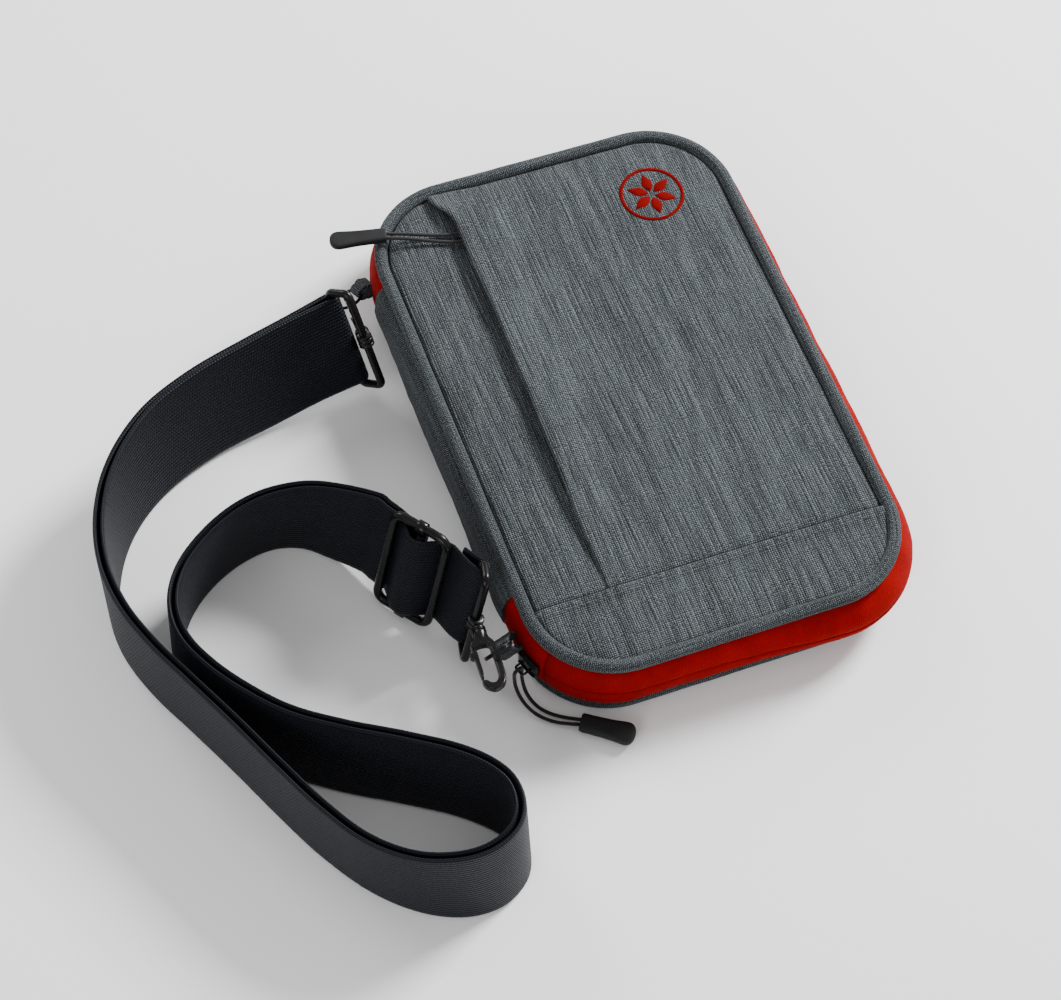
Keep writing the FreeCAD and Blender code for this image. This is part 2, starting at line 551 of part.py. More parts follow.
# ---- assembly ----
def case_nodes():
    nodes = {
        "back_panel": plate(PANEL_EDGE, 0.0, SHEET),
        "back_board": plate(BOARD_EDGE, SHEET, 4.0),
        "back_lining": plate(PANEL_EDGE, 4.0, 4.7),
        "back_piping": rim(Part.Face(Part.Wire([Part.Circle(V(PIPE_U, 0, BACK_PIPE_Z), V(0, 1, 0),
                                                            PIPE_R).toShape()])), ALL_ROUND),
        "back_zip_coil": rim(section(mirrored(COIL)), ZIP_RUN),
        "zip_end_top": rim(section(TAPE), TOP_END),
        "zip_end_bottom": rim(section(TAPE), LOW_END),
        "zip_stops": Part.makeCompound([zip_stop(-1), zip_stop(1)]),
        "spine_cover": spine_cover(),
        "spine_lining": spine_lining(),
        "front_board": plate(BOARD_EDGE, 26.0, FRONT_PIPE_Z - 0.2),
        "front_lining": plate(PANEL_EDGE, 25.2, 26.0),
        "front_piping": rim(Part.Face(Part.Wire([Part.Circle(V(PIPE_U, 0, FRONT_PIPE_Z), V(0, 1, 0),
                                                             PIPE_R).toShape()])), ALL_ROUND),
        "front_zip_coil": rim(section(COIL), ZIP_RUN),
        "front_left_panel": left_panel(),
        "front_flap_panel": flap_panel(),
        "front_bottom_band": bottom_band(),
        "front_rosette": rosette(),
        "inner_pocket": inner_pocket(),
        "pocket_zip_tape": pocket_tape(),
        "pocket_zip_slider": pocket_slider(),
        "main_zip_slider": main_slider(),
    }
    for cover, face, ends in (("front", section(TAPE), []),
                              ("back", section(mirrored(TAPE)), TOP_END + LOW_END)):
        nodes[cover + "_gusset_corners"] = rim(face, ZIP_CORNERS + ends)
        for side, stretch in ZIP_SIDES.items():
            nodes[f"{cover}_gusset_{side}"] = rim(face, [stretch])
    return nodes


def pull_nodes():
    nodes = {}
    for name, route, start, end, width, thick in (
            ("main_pull", MAIN_CORD, MAIN_TAB_FROM, MAIN_TAB_TO, 8.6, 4.6),
            ("pocket_pull", POCKET_CORD, POCKET_TAB_FROM, POCKET_TAB_TO, 7.6, 3.6)):
        path, radii = arc_route(route)
        cord = rod_along(path, CORD_R)
        print(name, "cord length", round(path.Length, 1), "radii", radii,
              "volume ratio", round(cord.Volume / (math.pi * CORD_R ** 2 * path.Length), 3))
        nodes[name + "_cord"] = cord
        tab = pull_tab((end - start).Length, width, thick)
        nodes[name + "_tab"] = placed(tab, frame_at(start, end - start, Z_AXIS.cross(end - start)))
    return nodes


def hook_nodes():
    nodes = {}
    for name in HOOKS:
        loop_frame, swivel_frame, claw_frame = hook_frames(name)
        rivet = Part.makeCylinder(0.6, HOOK_T, V(CLAW_START + 8.0, 3.4, -HOOK_T / 2))
        nodes[name + "_hook_loop"] = placed(strap_loop(), loop_frame)
        nodes[name + "_hook_swivel"] = placed(swivel(), swivel_frame)
        nodes[name + "_hook_claw"] = placed(claw().cut(rivet), claw_frame)
        nodes[name + "_hook_rivet"] = placed(rivet, claw_frame)
        nodes[name + "_hook_gate"] = placed(gate(), claw_frame)
        nodes[name + "_split_ring"] = Part.makeTorus(RING_R, RING_WIRE_R, *ring_frame(name))
        nodes["ring_tab_" + name] = ring_tab(name)
    return nodes


def strap_nodes():
    nodes = {name: strap_run(*span) for name, span in STRAP_SPLITS.items()}
    place = adjuster_place()
    nodes["strap_upper_wrap"] = upper_wrap()
    nodes["strap_tail_run"] = Part.makeCompound(list(tail_run()))
    nodes["strap_sewn_end"] = Part.makeCompound(list(sewn_end()))
    nodes["strap_adjuster_frame"] = placed(adjuster_frame(), place)
    nodes["strap_adjuster_bar"] = placed(adjuster_bar(), place)
    return nodes


def main():
    os.makedirs("parts", exist_ok=True)
    nodes = {**case_nodes(), **pull_nodes(), **hook_nodes(), **strap_nodes()}
    for name, shape in nodes.items():
        shape.exportStep(f"parts/{name}.step")
    print(len(nodes), "nodes")


main()
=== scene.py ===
import bpy
import math
from mathutils import Matrix, Vector, noise
from mathutils.bvhtree import BVHTree


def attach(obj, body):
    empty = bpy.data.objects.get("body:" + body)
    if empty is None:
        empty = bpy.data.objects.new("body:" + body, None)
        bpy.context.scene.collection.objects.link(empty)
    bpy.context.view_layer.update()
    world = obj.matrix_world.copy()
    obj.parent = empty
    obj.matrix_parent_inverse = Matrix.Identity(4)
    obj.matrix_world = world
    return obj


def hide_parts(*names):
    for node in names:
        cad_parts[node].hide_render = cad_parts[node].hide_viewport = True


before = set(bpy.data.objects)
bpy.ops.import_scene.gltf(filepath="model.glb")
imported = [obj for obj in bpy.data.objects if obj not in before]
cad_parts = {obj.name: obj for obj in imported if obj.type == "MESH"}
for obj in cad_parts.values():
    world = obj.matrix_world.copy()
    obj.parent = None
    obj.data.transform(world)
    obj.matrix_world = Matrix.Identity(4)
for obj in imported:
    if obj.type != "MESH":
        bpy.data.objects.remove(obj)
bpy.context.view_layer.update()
MM = 0.001
V = Vector

# ---------------------------------------------------------------- dimensions, in millimetres
HX, HY = 37.0, 73.0             # corner centres
PIPE_U, PIPE_R = 29.6, 2.4
BACK_PIPE_Z, FRONT_PIPE_Z = 2.5, 28.6
ZIP_Z = 15.55
SPINE_Y = (-64.0, 70.0)
PANEL_EDGE = 26.9
RUN_U = 32                      # distances along the edge are measured this far from the corner centres
CORNERS = {0: (HX, HY), 90: (-HX, HY), 180: (-HX, -HY), 270: (HX, -HY)}
ZIP_END_DEG, END_CUT_DEG = 30.0, 0.6
BAND_Y = -74.0                  # fold of the cover's bottom band
BAND_TUCK = 0.9                 # the band's raised edge runs this far in under the piping
BAND_UV_SHIFT = (31.0, 57.0)    # its weave is cut from another place than the flap's
TOP_Y = HY + PANEL_EDGE - 0.2
POCKET_CLOTH_X = -33.0          # edge of the left front cloth, hidden under the flap
SLIP_X, SLIP_Y = (-34, 56), 88  # extent of the slip pocket
WEB_W, WEB_T = 37.0, 1.5

MAIN_CORD = [(-56.6, -105.4, 3.2), (-60.6, -103.0, 2.4), (-65.4, -99.6, 1.6), (-69.6, -95.6, 2.2),
             (-72.2, -91.2, 5.2), (-72.8, -87.6, 9.4), (-72.6, -85.95, 13.4), (-72.6, -85.95, 17.25),
             (-75.7, -87.1, 17.25), (-75.7, -87.1, 13.4), (-75.8, -89.2, 9.4), (-74.4, -93.4, 5.2),
             (-71.2, -97.8, 2.2), (-66.6, -101.8, 1.6), (-61.6, -104.9, 2.4), (-57.4, -106.9, 3.2)]
POCKET_CORD = [(-62.6, 87.2, 33.6), (-56.4, 85.9, 32.7), (-49.0, 83.8, 31.4), (-41.6, 81.7, 30.55),
               (-35.0, 80.4, 30.55), (-29.1, 80.1, 30.55), (-28.9, 76.0, 30.55), (-34.9, 76.5, 30.55),
               (-41.8, 78.6, 30.55), (-49.3, 81.4, 31.4), (-56.8, 84.0, 32.7), (-62.9, 85.3, 33.6)]
CORD_D = 1.3


def add_object(name, data):
    obj = bpy.data.objects.new(name, data)
    bpy.context.scene.collection.objects.link(obj)
    return obj


# ---------------------------------------------------------------- camera
def make_camera():
    """Camera fitted to the pictured view."""
    azimuth, elevation, roll = math.radians(-24.766), math.radians(59.42), math.radians(5.0)
    distance, look = 1003.7, V((-42.857, -16.576, 0))
    fwd = V((-math.sin(azimuth) * math.cos(elevation), math.cos(azimuth) * math.cos(elevation),
             -math.sin(elevation)))
    level = V((math.cos(azimuth), math.sin(azimuth), 0))
    rise = level.cross(fwd)
    right = level * math.cos(roll) + rise * math.sin(roll)
    up = rise * math.cos(roll) - level * math.sin(roll)
    data = bpy.data.cameras.new("camera")
    data.sensor_width = 36
    data.lens = 95.71
    data.clip_start, data.clip_end = 0.05, 20
    cam = add_object("camera", data)
    turn = Matrix((right, up, -fwd)).transposed().to_4x4()
    cam.matrix_world = Matrix.Translation((look - fwd * distance) * MM) @ turn
    bpy.context.scene.camera = cam


make_camera()


# ---------------------------------------------------------------- materials
class Nodes:
    """Short way to write a material's nodes."""

    def __init__(self, name):
        self.mat = bpy.data.materials.new(name)
        self.mat.use_nodes = True
        self.tree = self.mat.node_tree
        self.tree.nodes.clear()
        self.shader = self.new("ShaderNodeBsdfPrincipled")
        out = self.new("ShaderNodeOutputMaterial")
        self.link(self.shader.outputs[0], out.inputs[0])

    def new(self, kind, **settings):
        node = self.tree.nodes.new(kind)
        for key, value in settings.items():
            setattr(node, key, value)
        return node

    def link(self, a, b):
        self.tree.links.new(a, b)

    def put(self, socket, value):
        if isinstance(value, bpy.types.NodeSocket):
            self.link(value, socket)
        else:
            socket.default_value = value

    def math(self, op, a, b=0.0, c=0.0):
        node = self.new("ShaderNodeMath", operation=op)
        for i, value in enumerate((a, b, c)):
            self.put(node.inputs[i], value)
        return node.outputs[0]

    def coords(self, kind):
        return self.new("ShaderNodeTexCoord").outputs[kind]

    def scaled(self, vector, scale, turn=0.0):
        node = self.new("ShaderNodeMapping")
        self.link(vector, node.inputs[0])
        node.inputs["Scale"].default_value = scale
        node.inputs["Rotation"].default_value = (0, 0, turn)
        return node.outputs[0]

    def noise(self, vector, scale, detail=2.0, rough=0.5):
        node = self.new("ShaderNodeTexNoise")
        self.link(vector, node.inputs["Vector"])
        node.inputs["Scale"].default_value = scale
        node.inputs["Detail"].default_value = detail
        node.inputs["Roughness"].default_value = rough
        return node.outputs["Fac"]

    def ramp(self, fac, stops):
        node = self.new("ShaderNodeValToRGB")
        self.link(fac, node.inputs[0])
        ramp = node.color_ramp
        ramp.elements[0].position, ramp.elements[0].color = stops[0][0], (*stops[0][1], 1)
        ramp.elements[1].position, ramp.elements[1].color = stops[-1][0], (*stops[-1][1], 1)
        for place, colour in stops[1:-1]:
            ramp.elements.new(place).color = (*colour, 1)
        return node.outputs[0]

    def add(self, a, b):
        return self.math("ADD", a, b)

    def times(self, a, b):
        return self.math("MULTIPLY", a, b)

    def grain(self, vector, scale, rough=0.6, detail=2.0, turn=0.0):
        """Noise that is drawn out along the axes where scale is smaller."""
        return self.noise(self.scaled(vector, scale, turn), 1.0, detail, rough)

    def uv_parts(self):
        """UV vector, and the lengths along and across in metres."""
        uv = self.coords("UV")
        split = self.new("ShaderNodeSeparateXYZ")
        self.link(uv, split.inputs[0])
        return uv, split.outputs[0], split.outputs[1]

    def set(self, **values):
        for key, value in values.items():
            self.put(self.shader.inputs[key.replace("_", " ")], value)

    def bump(self, height, distance, strength=1.0):
        node = self.new("ShaderNodeBump")
        node.inputs["Distance"].default_value = distance
        node.inputs["Strength"].default_value = strength
        self.link(height, node.inputs["Height"])
        self.link(node.outputs[0], self.shader.inputs["Normal"])


def wave(n, value, pitch):
    """Sine of a length in metres, from 0 to 1."""
    return n.math("MULTIPLY_ADD", n.math("SINE", n.times(value, math.tau / pitch)), 0.5, 0.5)


def melange(name, dark, mid, light, pitch=0.0008, twill=0.0, bump=0.0003):
    """Two-tone woven cloth: yarns of different greys running along V, crossed by a fine weave."""
    n = Nodes(name)
    uv, u, v = n.uv_parts()
    yarn = n.grain(uv, (1700, 42, 1))
    grain = n.grain(uv, (1900, 1500, 1), 0.7)
    cloud = n.grain(uv, (90, 9, 1), 0.6, 3.0)
    slub = n.add(n.times(yarn, 0.36), n.times(grain, 0.64))
    slub = n.add(slub, n.math("MULTIPLY_ADD", cloud, 0.16, -0.08))
    lean = n.add(n.math("MULTIPLY_ADD", v, twill, u), n.times(yarn, pitch * 1.4))
    pick = n.math("MULTIPLY_ADD", grain, pitch * 1.1, v)
    weave = n.times(wave(n, lean, pitch), wave(n, pick, pitch * 0.9))
    tone = n.add(n.times(slub, 0.80), n.times(weave, 0.30))
    colour = n.ramp(tone, [(0.37, dark), (0.53, mid), (0.71, light)])
    n.set(Base_Color=colour, Roughness=0.95, Specular_IOR_Level=0.12, Sheen_Weight=0.05, Sheen_Roughness=0.5)
    n.bump(n.add(n.times(weave, 0.8), n.times(slub, 0.6)), bump, 0.9)
    return n.mat


def tape_cloth(name, dark, light, pitch=0.0005, bump=0.00012, sheen=0.1):
    """Fine plain-woven tape with slight unevenness."""
    n = Nodes(name)
    uv, u, v = n.uv_parts()
    weave = n.times(wave(n, u, pitch), wave(n, v, pitch * 1.3))
    grain = n.grain(uv, (900, 1400, 1))
    cloud = n.grain(uv, (50, 120, 1), 0.5)
    tone = n.add(n.times(weave, 0.34), n.add(n.times(grain, 0.3), n.times(cloud, 0.36)))
    n.set(Base_Color=n.ramp(tone, [(0.25, dark), (0.75, light)]), Roughness=0.82,
          Specular_IOR_Level=0.06, Sheen_Weight=sheen, Sheen_Roughness=0.4)
    n.bump(n.add(weave, n.times(grain, 0.5)), bump, 0.8)
    return n.mat


def webbing_cloth(name):
    """Ribbed strap webbing: rows of small herringbone loops along the strap, smoother selvedges."""
    n = Nodes(name)
    uv, along, across = n.uv_parts()
    row = wave(n, across, 0.00125)
    half = n.math("GREATER_THAN", n.math("SINE", n.times(across, math.tau / 0.0025)), 0.0)
    shift = n.math("MULTIPLY_ADD", half, 0.00055, along)
    loops = wave(n, shift, 0.0011)
    fibre = n.grain(uv, (2600, 900, 1))
    cloud = n.grain(uv, (26, 60, 1), 0.5)
    height = n.math("MULTIPLY_ADD", n.times(row, loops), 0.8, n.times(row, 0.35))
    tone = n.add(n.times(height, 0.5), n.add(n.times(fibre, 0.3), n.times(cloud, 0.2)))
    colour = n.ramp(tone, [(0.2, (0.0008, 0.0010, 0.0022)), (0.55, (0.0030, 0.0040, 0.0080)),
                           (0.95, (0.012, 0.0155, 0.026))])
    n.set(Base_Color=colour, Roughness=0.5, Specular_IOR_Level=0.14, Sheen_Weight=0.03, Sheen_Roughness=0.3)
    n.shader.inputs["Sheen Tint"].default_value = (0.55, 0.62, 0.75, 1)
    n.bump(height, 0.0003, 0.9)
    return n.mat


def black_metal(name, tone=0.0035):
    """Glossy black plating with fine handling marks."""
    n = Nodes(name)
    place = n.coords("Object")
    smear = n.noise(place, 160.0, 4.0, 0.6)
    scratch = n.grain(place, (900, 120, 300), 0.7, 3.0, 0.6)
    rough = n.add(n.times(smear, 0.16), n.times(scratch, 0.12))
    colour = n.ramp(smear, [(0.3, (tone * 0.7,) * 3), (0.75, (tone * 1.6, tone * 1.6, tone * 1.75))])
    n.set(Base_Color=colour, Roughness=n.add(rough, 0.12), Metallic=0.0, Specular_IOR_Level=0.22)
    n.bump(scratch, 0.00003, 0.5)
    return n.mat


def moulded_rubber(name, dark, light):
    """Matt moulded rubber with a fine sandblasted skin."""
    n = Nodes(name)
    place = n.coords("Object")
    grain = n.noise(place, 2600.0, 2.0, 0.6)
    dust = n.noise(place, 130.0, 3.0, 0.6)
    tone = n.add(n.times(grain, 0.5), n.times(dust, 0.5))
    n.set(Base_Color=n.ramp(tone, [(0.35, dark), (0.7, light)]),
          Roughness=n.math("MULTIPLY_ADD", dust, 0.2, 0.5), Specular_IOR_Level=0.25)
    n.bump(grain, 0.00005, 0.6)
    return n.mat


def braided(name):
    """Matt black braid with fine strands."""
    n = Nodes(name)
    place = n.coords("Object")
    grain = n.grain(place, (1500, 1500, 1500))
    strand = n.grain(place, (3800, 700, 700), 0.6, 2.0, 0.7)
    tone = n.add(n.times(grain, 0.5), n.times(strand, 0.5))
    n.set(Base_Color=n.ramp(tone, [(0.3, (0.003, 0.0033, 0.0036)), (0.75, (0.020, 0.021, 0.023))]),
          Roughness=0.85, Specular_IOR_Level=0.25, Sheen_Weight=0.2)
    n.bump(tone, 0.00015, 0.9)
    return n.mat


def foam_board(name):
    """Dark closed-cell foam."""
    n = Nodes(name)
    place = n.coords("Object")
    cell = n.new("ShaderNodeTexVoronoi")
    n.link(place, cell.inputs["Vector"])
    cell.inputs["Scale"].default_value = 1600.0
    speck = n.noise(place, 400.0, 3.0, 0.6)
    n.set(Base_Color=n.ramp(speck, [(0.3, (0.03, 0.03, 0.033)), (0.7, (0.075, 0.075, 0.08))]), Roughness=0.9)
    n.bump(cell.outputs["Distance"], 0.0001, 0.6)
    return n.mat


def floor_material(name):
    """Pale, dull ground."""
    n = Nodes(name)
    place = n.coords("Object")
    tone = n.noise(place, 3.0, 2.0, 0.5)
    n.set(Base_Color=n.ramp(tone, [(0.3, (0.95, 0.95, 0.95)), (0.7, (0.97, 0.97, 0.97))]), Roughness=0.95,
          Specular_IOR_Level=0.1)
    return n.mat


GREY = melange("grey_melange", (0.0065, 0.0080, 0.0095), (0.058, 0.067, 0.073), (0.215, 0.240, 0.252))
GREY_PIPE = melange("grey_melange_bias", (0.0065, 0.0080, 0.0095), (0.055, 0.064, 0.070),
                    (0.19, 0.213, 0.225), pitch=0.0008, twill=0.8)
RED = tape_cloth("red_tape", (0.15, 0.0001, 0.0001), (0.36, 0.0003, 0.0002), sheen=0.0)
RED_COIL = tape_cloth("red_coil", (0.10, 0.0006, 0.0003), (0.30, 0.002, 0.001), pitch=0.0008, bump=0.0003,
                      sheen=0.0)
RED_PRINT = tape_cloth("red_print", (0.10, 0.0004, 0.0006), (0.21, 0.001, 0.001), pitch=0.00062, bump=0.00010,
                       sheen=0.0)
LINING = tape_cloth("dark_lining", (0.016, 0.018, 0.020), (0.055, 0.060, 0.066), pitch=0.0004)
POCKET_TAPE = tape_cloth("dark_tape", (0.010, 0.011, 0.012), (0.040, 0.043, 0.047))
WEBBING = webbing_cloth("navy_webbing")
METAL = black_metal("black_plating")
RUBBER = moulded_rubber("grey_rubber", (0.0035, 0.0037, 0.0042), (0.012, 0.0125, 0.014))
CORD = braided("braided_cord")
BOARD = foam_board("foam_board")
THREAD = tape_cloth("grey_thread", (0.05, 0.058, 0.064), (0.16, 0.175, 0.19), pitch=0.0003)
DARK_THREAD = tape_cloth("dark_thread", (0.006, 0.007, 0.009), (0.02, 0.022, 0.027), pitch=0.0003)


# ---------------------------------------------------------------- mesh helpers
def even(lo, hi, count):
    """count + 1 evenly spaced values from lo to hi."""
    return [lo + (hi - lo) * i / count for i in range(count + 1)]


def circle(count):
    """Cosine and sine of count even turns."""
    return [(math.cos(math.tau * k / count), math.sin(math.tau * k / count)) for k in range(count)]


def build(name, rows, uvs, material, body, stands_for=(), loop=False, caps=False):
    """Mesh from a grid of points in millimetres, with UVs in metres. loop closes each row on itself."""
    count = len(rows[0])
    verts = [tuple(V(p) * MM) for row in rows for p in row]
    faces, face_uvs = [], []
    for i in range(len(rows) - 1):
        for j in range(count if loop else count - 1):
            k = (j + 1) % count
            faces.append((i * count + j, i * count + k, (i + 1) * count + k, (i + 1) * count + j))
            far = j + 1
            face_uvs += [uvs(i, j), uvs(i, far), uvs(i + 1, far), uvs(i + 1, j)]
    if caps:
        last = (len(rows) - 1) * count
        faces += [tuple(range(count - 1, -1, -1)), tuple(range(last, last + count))]
        face_uvs += [uvs(0, j) for j in range(count - 1, -1, -1)]
        face_uvs += [uvs(len(rows) - 1, j) for j in range(count)]
    return finish_mesh(name, verts, faces, face_uvs, material, body, stands_for)


def finish_mesh(name, verts, faces, face_uvs, material, body, stands_for, smooth=True):
    """Mesh object from vertices in metres and UVs in millimetres, tied to its body and CAD nodes."""
    mesh = bpy.data.meshes.new(name)
    mesh.from_pydata(verts, [], faces)
    layer = mesh.uv_layers.new(name="UVMap")
    for data, (a, b) in zip(layer.data, face_uvs):
        data.uv = (a * MM, b * MM)
    mesh.materials.append(material)
    mesh.polygons.foreach_set("use_smooth", [smooth] * len(faces))
    mesh.validate()
    mesh.update()
    obj = add_object(name, mesh)
    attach(obj, body)
    if stands_for:
        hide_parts(*stands_for)
    return obj


def solidify(obj, thickness, offset=-1.0):
    """Gives the sheet its thickness, on its inner side or, with offset 0, on both sides."""
    mod = obj.modifiers.new("thick", "SOLIDIFY")
    mod.thickness = thickness * MM
    mod.offset = offset
    mod.use_even_offset = True
    return obj


def round_edges(obj, width, segments=2):
    """Bevel of the given width in millimetres; returns the modifier."""
    mod = obj.modifiers.new("edge", "BEVEL")
    mod.width = width * MM
    mod.segments = segments
    return mod


def corner(angle, lo, hi):
    return ("corner", angle, lo, hi)


def side(angle, lo=None, hi=None):
    reach = HY if angle in (0, 180) else HX
    return ("side", angle, -reach if lo is None else lo, reach if hi is None else hi)


def edge_run(stretches, step=2.0):
    """Stations along the case's edge: base point, outward direction and distance run."""
    stations, run = [], 0.0
    for kind, angle, lo, hi in stretches:
        if kind == "corner":
            length = abs(math.radians(hi - lo)) * RUN_U
            count = max(2, round(length / step))
            turn = [math.radians(a) for a in even(lo, hi, count)]
            here = [(V((*CORNERS[angle], 0)), V((math.cos(a), math.sin(a), 0))) for a in turn]
        else:
            count = max(2, round((hi - lo) / step))
            a = math.radians(angle)
            reach = HX if angle in (0, 180) else HY
            out = V((math.cos(a), math.sin(a), 0))
            along = V((-math.sin(a), math.cos(a), 0))
            here = [(out * reach + along * shift, out) for shift in even(lo, hi, count)]
            length = hi - lo
        for i, (base, out) in enumerate(here):
            if i == 0 and stations:
                continue
            stations.append((base, out, run + length * i / count))
        run += length
    return stations


ALL_ROUND = [side(0), corner(0, 0, 90), side(90), corner(90, 90, 180), side(180), corner(180, 180, 270),
             side(270), corner(270, 270, 360)]
ZIP_RUN = [corner(180, 180 + ZIP_END_DEG, 270), side(270), corner(270, 270, 360), side(0), corner(0, 0, 90),
           side(90), corner(90, 90, 180 - ZIP_END_DEG)]
TOP_END = [corner(90, 180 - ZIP_END_DEG + END_CUT_DEG, 180), side(180, -HY, -SPINE_Y[1] + 1.0)]
LOW_END = [side(180, -SPINE_Y[0] - 1.0, HY), corner(180, 180, 180 + ZIP_END_DEG - END_CUT_DEG)]
SPINE_RUN = [side(180, -SPINE_Y[1], -SPINE_Y[0])]


def rim_mesh(name, profile, stretches, material, body, stands_for=(), loop=False, caps=False, step=2.0,
             shape=None):
    """Sweeps a (u, z) profile along the case's edge. shape(u, z, base, out, run) may move each point."""
    stations = edge_run(stretches, step)
    across = [0.0]
    closed = list(profile) + [profile[0]]
    for (u0, z0), (u1, z1) in zip(closed, closed[1:]):
        across.append(across[-1] + math.hypot(u1 - u0, z1 - z0))
    rows = []
    for base, out, run in stations:
        row = []
        for u, z in profile:
            if shape:
                u, z = shape(u, z, base, out, run)
            row.append(base + out * u + V((0, 0, z)))
        rows.append(row)
    return build(name, rows, lambda i, j: (across[j], stations[i][2]), material, body, stands_for,
                 loop, caps)


def wrinkle(p, size, amount, seed=0.0):
    """Smooth unevenness of cloth, in millimetres."""
    return noise.noise(V((p[0] / size + seed, p[1] / size - seed, p[2] / size))) * amount


def tube_profile(u, z, radius, count=16):
    return [(u + radius * c, z + radius * s) for c, s in circle(count)]


def arc_length(points):
    total = [0.0]
    for a, b in zip(points, points[1:]):
        total.append(total[-1] + (V(b) - V(a)).length)
    return total


def stitches(name, points, body, material, pitch=3.2, length=2.3, radius=0.28, sink=0.06, normal=None):
    """Row of thread stitches along a line of points; each is a small arched capsule."""
    total = arc_length(points)
    verts, faces, uvs = [], [], []
    ring, steps = 6, 6

    def at(s):
        for i in range(len(points) - 1):
            if total[i + 1] >= s:
                t = (s - total[i]) / max(total[i + 1] - total[i], 1e-9)
                a, b = V(points[i]), V(points[i + 1])
                return a.lerp(b, t), (b - a).normalized()
        return V(points[-1]), (V(points[-1]) - V(points[-2])).normalized()

    s = pitch * 0.5
    while s + length < total[-1]:
        start = len(verts)
        for k in range(steps + 1):
            f = k / steps
            centre, along = at(s + length * f)
            up = normal(centre) if normal else V((0, 0, 1))
            across = along.cross(up).normalized()
            up = across.cross(along).normalized()
            lift = math.sin(math.pi * f)
            centre = centre + up * (radius * lift - sink - radius * 0.6)
            r = radius * (0.35 + 0.65 * math.sqrt(max(lift, 0.0)))
            verts += [tuple((centre + across * x * r + up * y * r) * MM) for x, y in circle(ring)]
        for k in range(steps):
            for m in range(ring):
                m2 = (m + 1) % ring
                faces.append((start + k * ring + m, start + k * ring + m2, start + (k + 1) * ring + m2,
                              start + (k + 1) * ring + m))
                uvs += [(s + k, m), (s + k, m + 1), (s + k + 1, m + 1), (s + k + 1, m)]
        end = start + steps * ring
        faces += [tuple(range(start + ring - 1, start - 1, -1)), tuple(range(end, end + ring))]
        uvs += [(0, 0)] * (2 * ring)
        s += pitch
    return finish_mesh(name, verts, faces, uvs, material, body, ())


# ---------------------------------------------------------------- cords
def cord_curve(name, route, body, node):
    """Round cord through the route, as a quadratic spline."""
    curve = bpy.data.curves.new(name, "CURVE")
    curve.dimensions = "3D"
    spline = curve.splines.new("NURBS")
    spline.points.add(len(route) - 1)
    for point, place in zip(spline.points, route):
        point.co = (*[c * MM for c in place], 1)
    spline.order_u = 3
    spline.use_endpoint_u = True
    spline.resolution_u = 10
    curve.bevel_depth = CORD_D / 2 * MM
    curve.bevel_resolution = 4
    curve.use_fill_caps = True
    curve.materials.append(CORD)
    obj = add_object(name, curve)
    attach(obj, body)
    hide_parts(node)
    return obj


def spline_length(route):
    total = 0.0
    mids = [V(route[0])] + [(V(a) + V(b)) / 2 for a, b in zip(route[1:], route[2:-1])] + [V(route[-1])]
    for a, b, c in zip(mids, route[1:-1], mids[1:]):
        last = a
        for i in range(1, 13):
            t = i / 12
            here = a * (1 - t) ** 2 + V(b) * 2 * t * (1 - t) + c * t * t
            total += (here - last).length
            last = here
    return total


def pull_tab(name, start, end, width, thick, body, node):
    """Moulded pull: a flat bar with a square near end, widening to a round far end."""
    start, end = V(start), V(end)
    axis = (end - start).normalized()
    across = V((0, 0, 1)).cross(axis).normalized()
    up = axis.cross(across)
    length = (end - start).length
    outline = [(0.0, 0.30), (0.004, 0.66), (0.02, 0.74), (0.06, 0.76), (0.25, 0.77), (0.45, 0.80),
               (0.62, 0.86), (0.74, 0.94), (0.82, 0.99), (0.88, 0.97), (0.93, 0.86), (0.97, 0.64),
               (0.99, 0.40), (1.0, 0.16)]
    rows = []
    for f, w in outline:
        row = []
        for c, s in circle(20):
            x = math.copysign(abs(c) ** 0.55, c) * width / 2 * w
            z = math.copysign(abs(s) ** 0.6, s) * thick / 2 * min(1.0, 0.5 + 0.62 * w) * (1 - 0.18 * f)
            row.append(start + axis * length * f + across * x + up * z)
        rows.append(row)
    obj = build(name, rows, lambda i, j: (outline[i][0] * length, j * 0.8), RUBBER, body,
                (node,), loop=True, caps=True)
    sub = obj.modifiers.new("smooth", "SUBSURF")
    sub.levels = sub.render_levels = 2
    return obj


main_tab = pull_tab("main_pull_grip", (-58.2, -105.6, 3.2), (-42.4, -116.7, 3.2), 8.6, 4.4, "main_pull",
                    "main_pull_tab")
pocket_tab = pull_tab("pocket_pull_grip", (-61.8, 86.1, 33.9), (-82.2, 89.4, 34.6), 7.4, 3.6, "pocket_pull",
                      "pocket_pull_tab")
main_cord = cord_curve("main_pull_line", MAIN_CORD, "main_pull", "main_pull_cord")
pocket_cord = cord_curve("pocket_pull_line", POCKET_CORD, "pocket_pull", "pocket_pull_cord")
spline_length(MAIN_CORD) * MM
spline_length(POCKET_CORD) * MM


# ---------------------------------------------------------------- case: pipings, gussets, spine
def piping_shape(zc):
    def shape(u, z, base, out, run):
        p = base + out * u
        swell = 1 + wrinkle((p.x, p.y, zc), 9.0, 0.035) + wrinkle((p.x, p.y, zc), 2.6, 0.02, 5.0)
        return PIPE_U + (u - PIPE_U) * swell, zc + (z - zc) * swell
    return shape


for label, body, zc in (("front", "cover", FRONT_PIPE_Z), ("back", "case", BACK_PIPE_Z)):
    rim_mesh(label + "_piping_cloth", tube_profile(PIPE_U, zc, PIPE_R, 18), ALL_ROUND, GREY_PIPE, body,
             (label + "_piping",), loop=True, step=1.2, shape=piping_shape(zc))

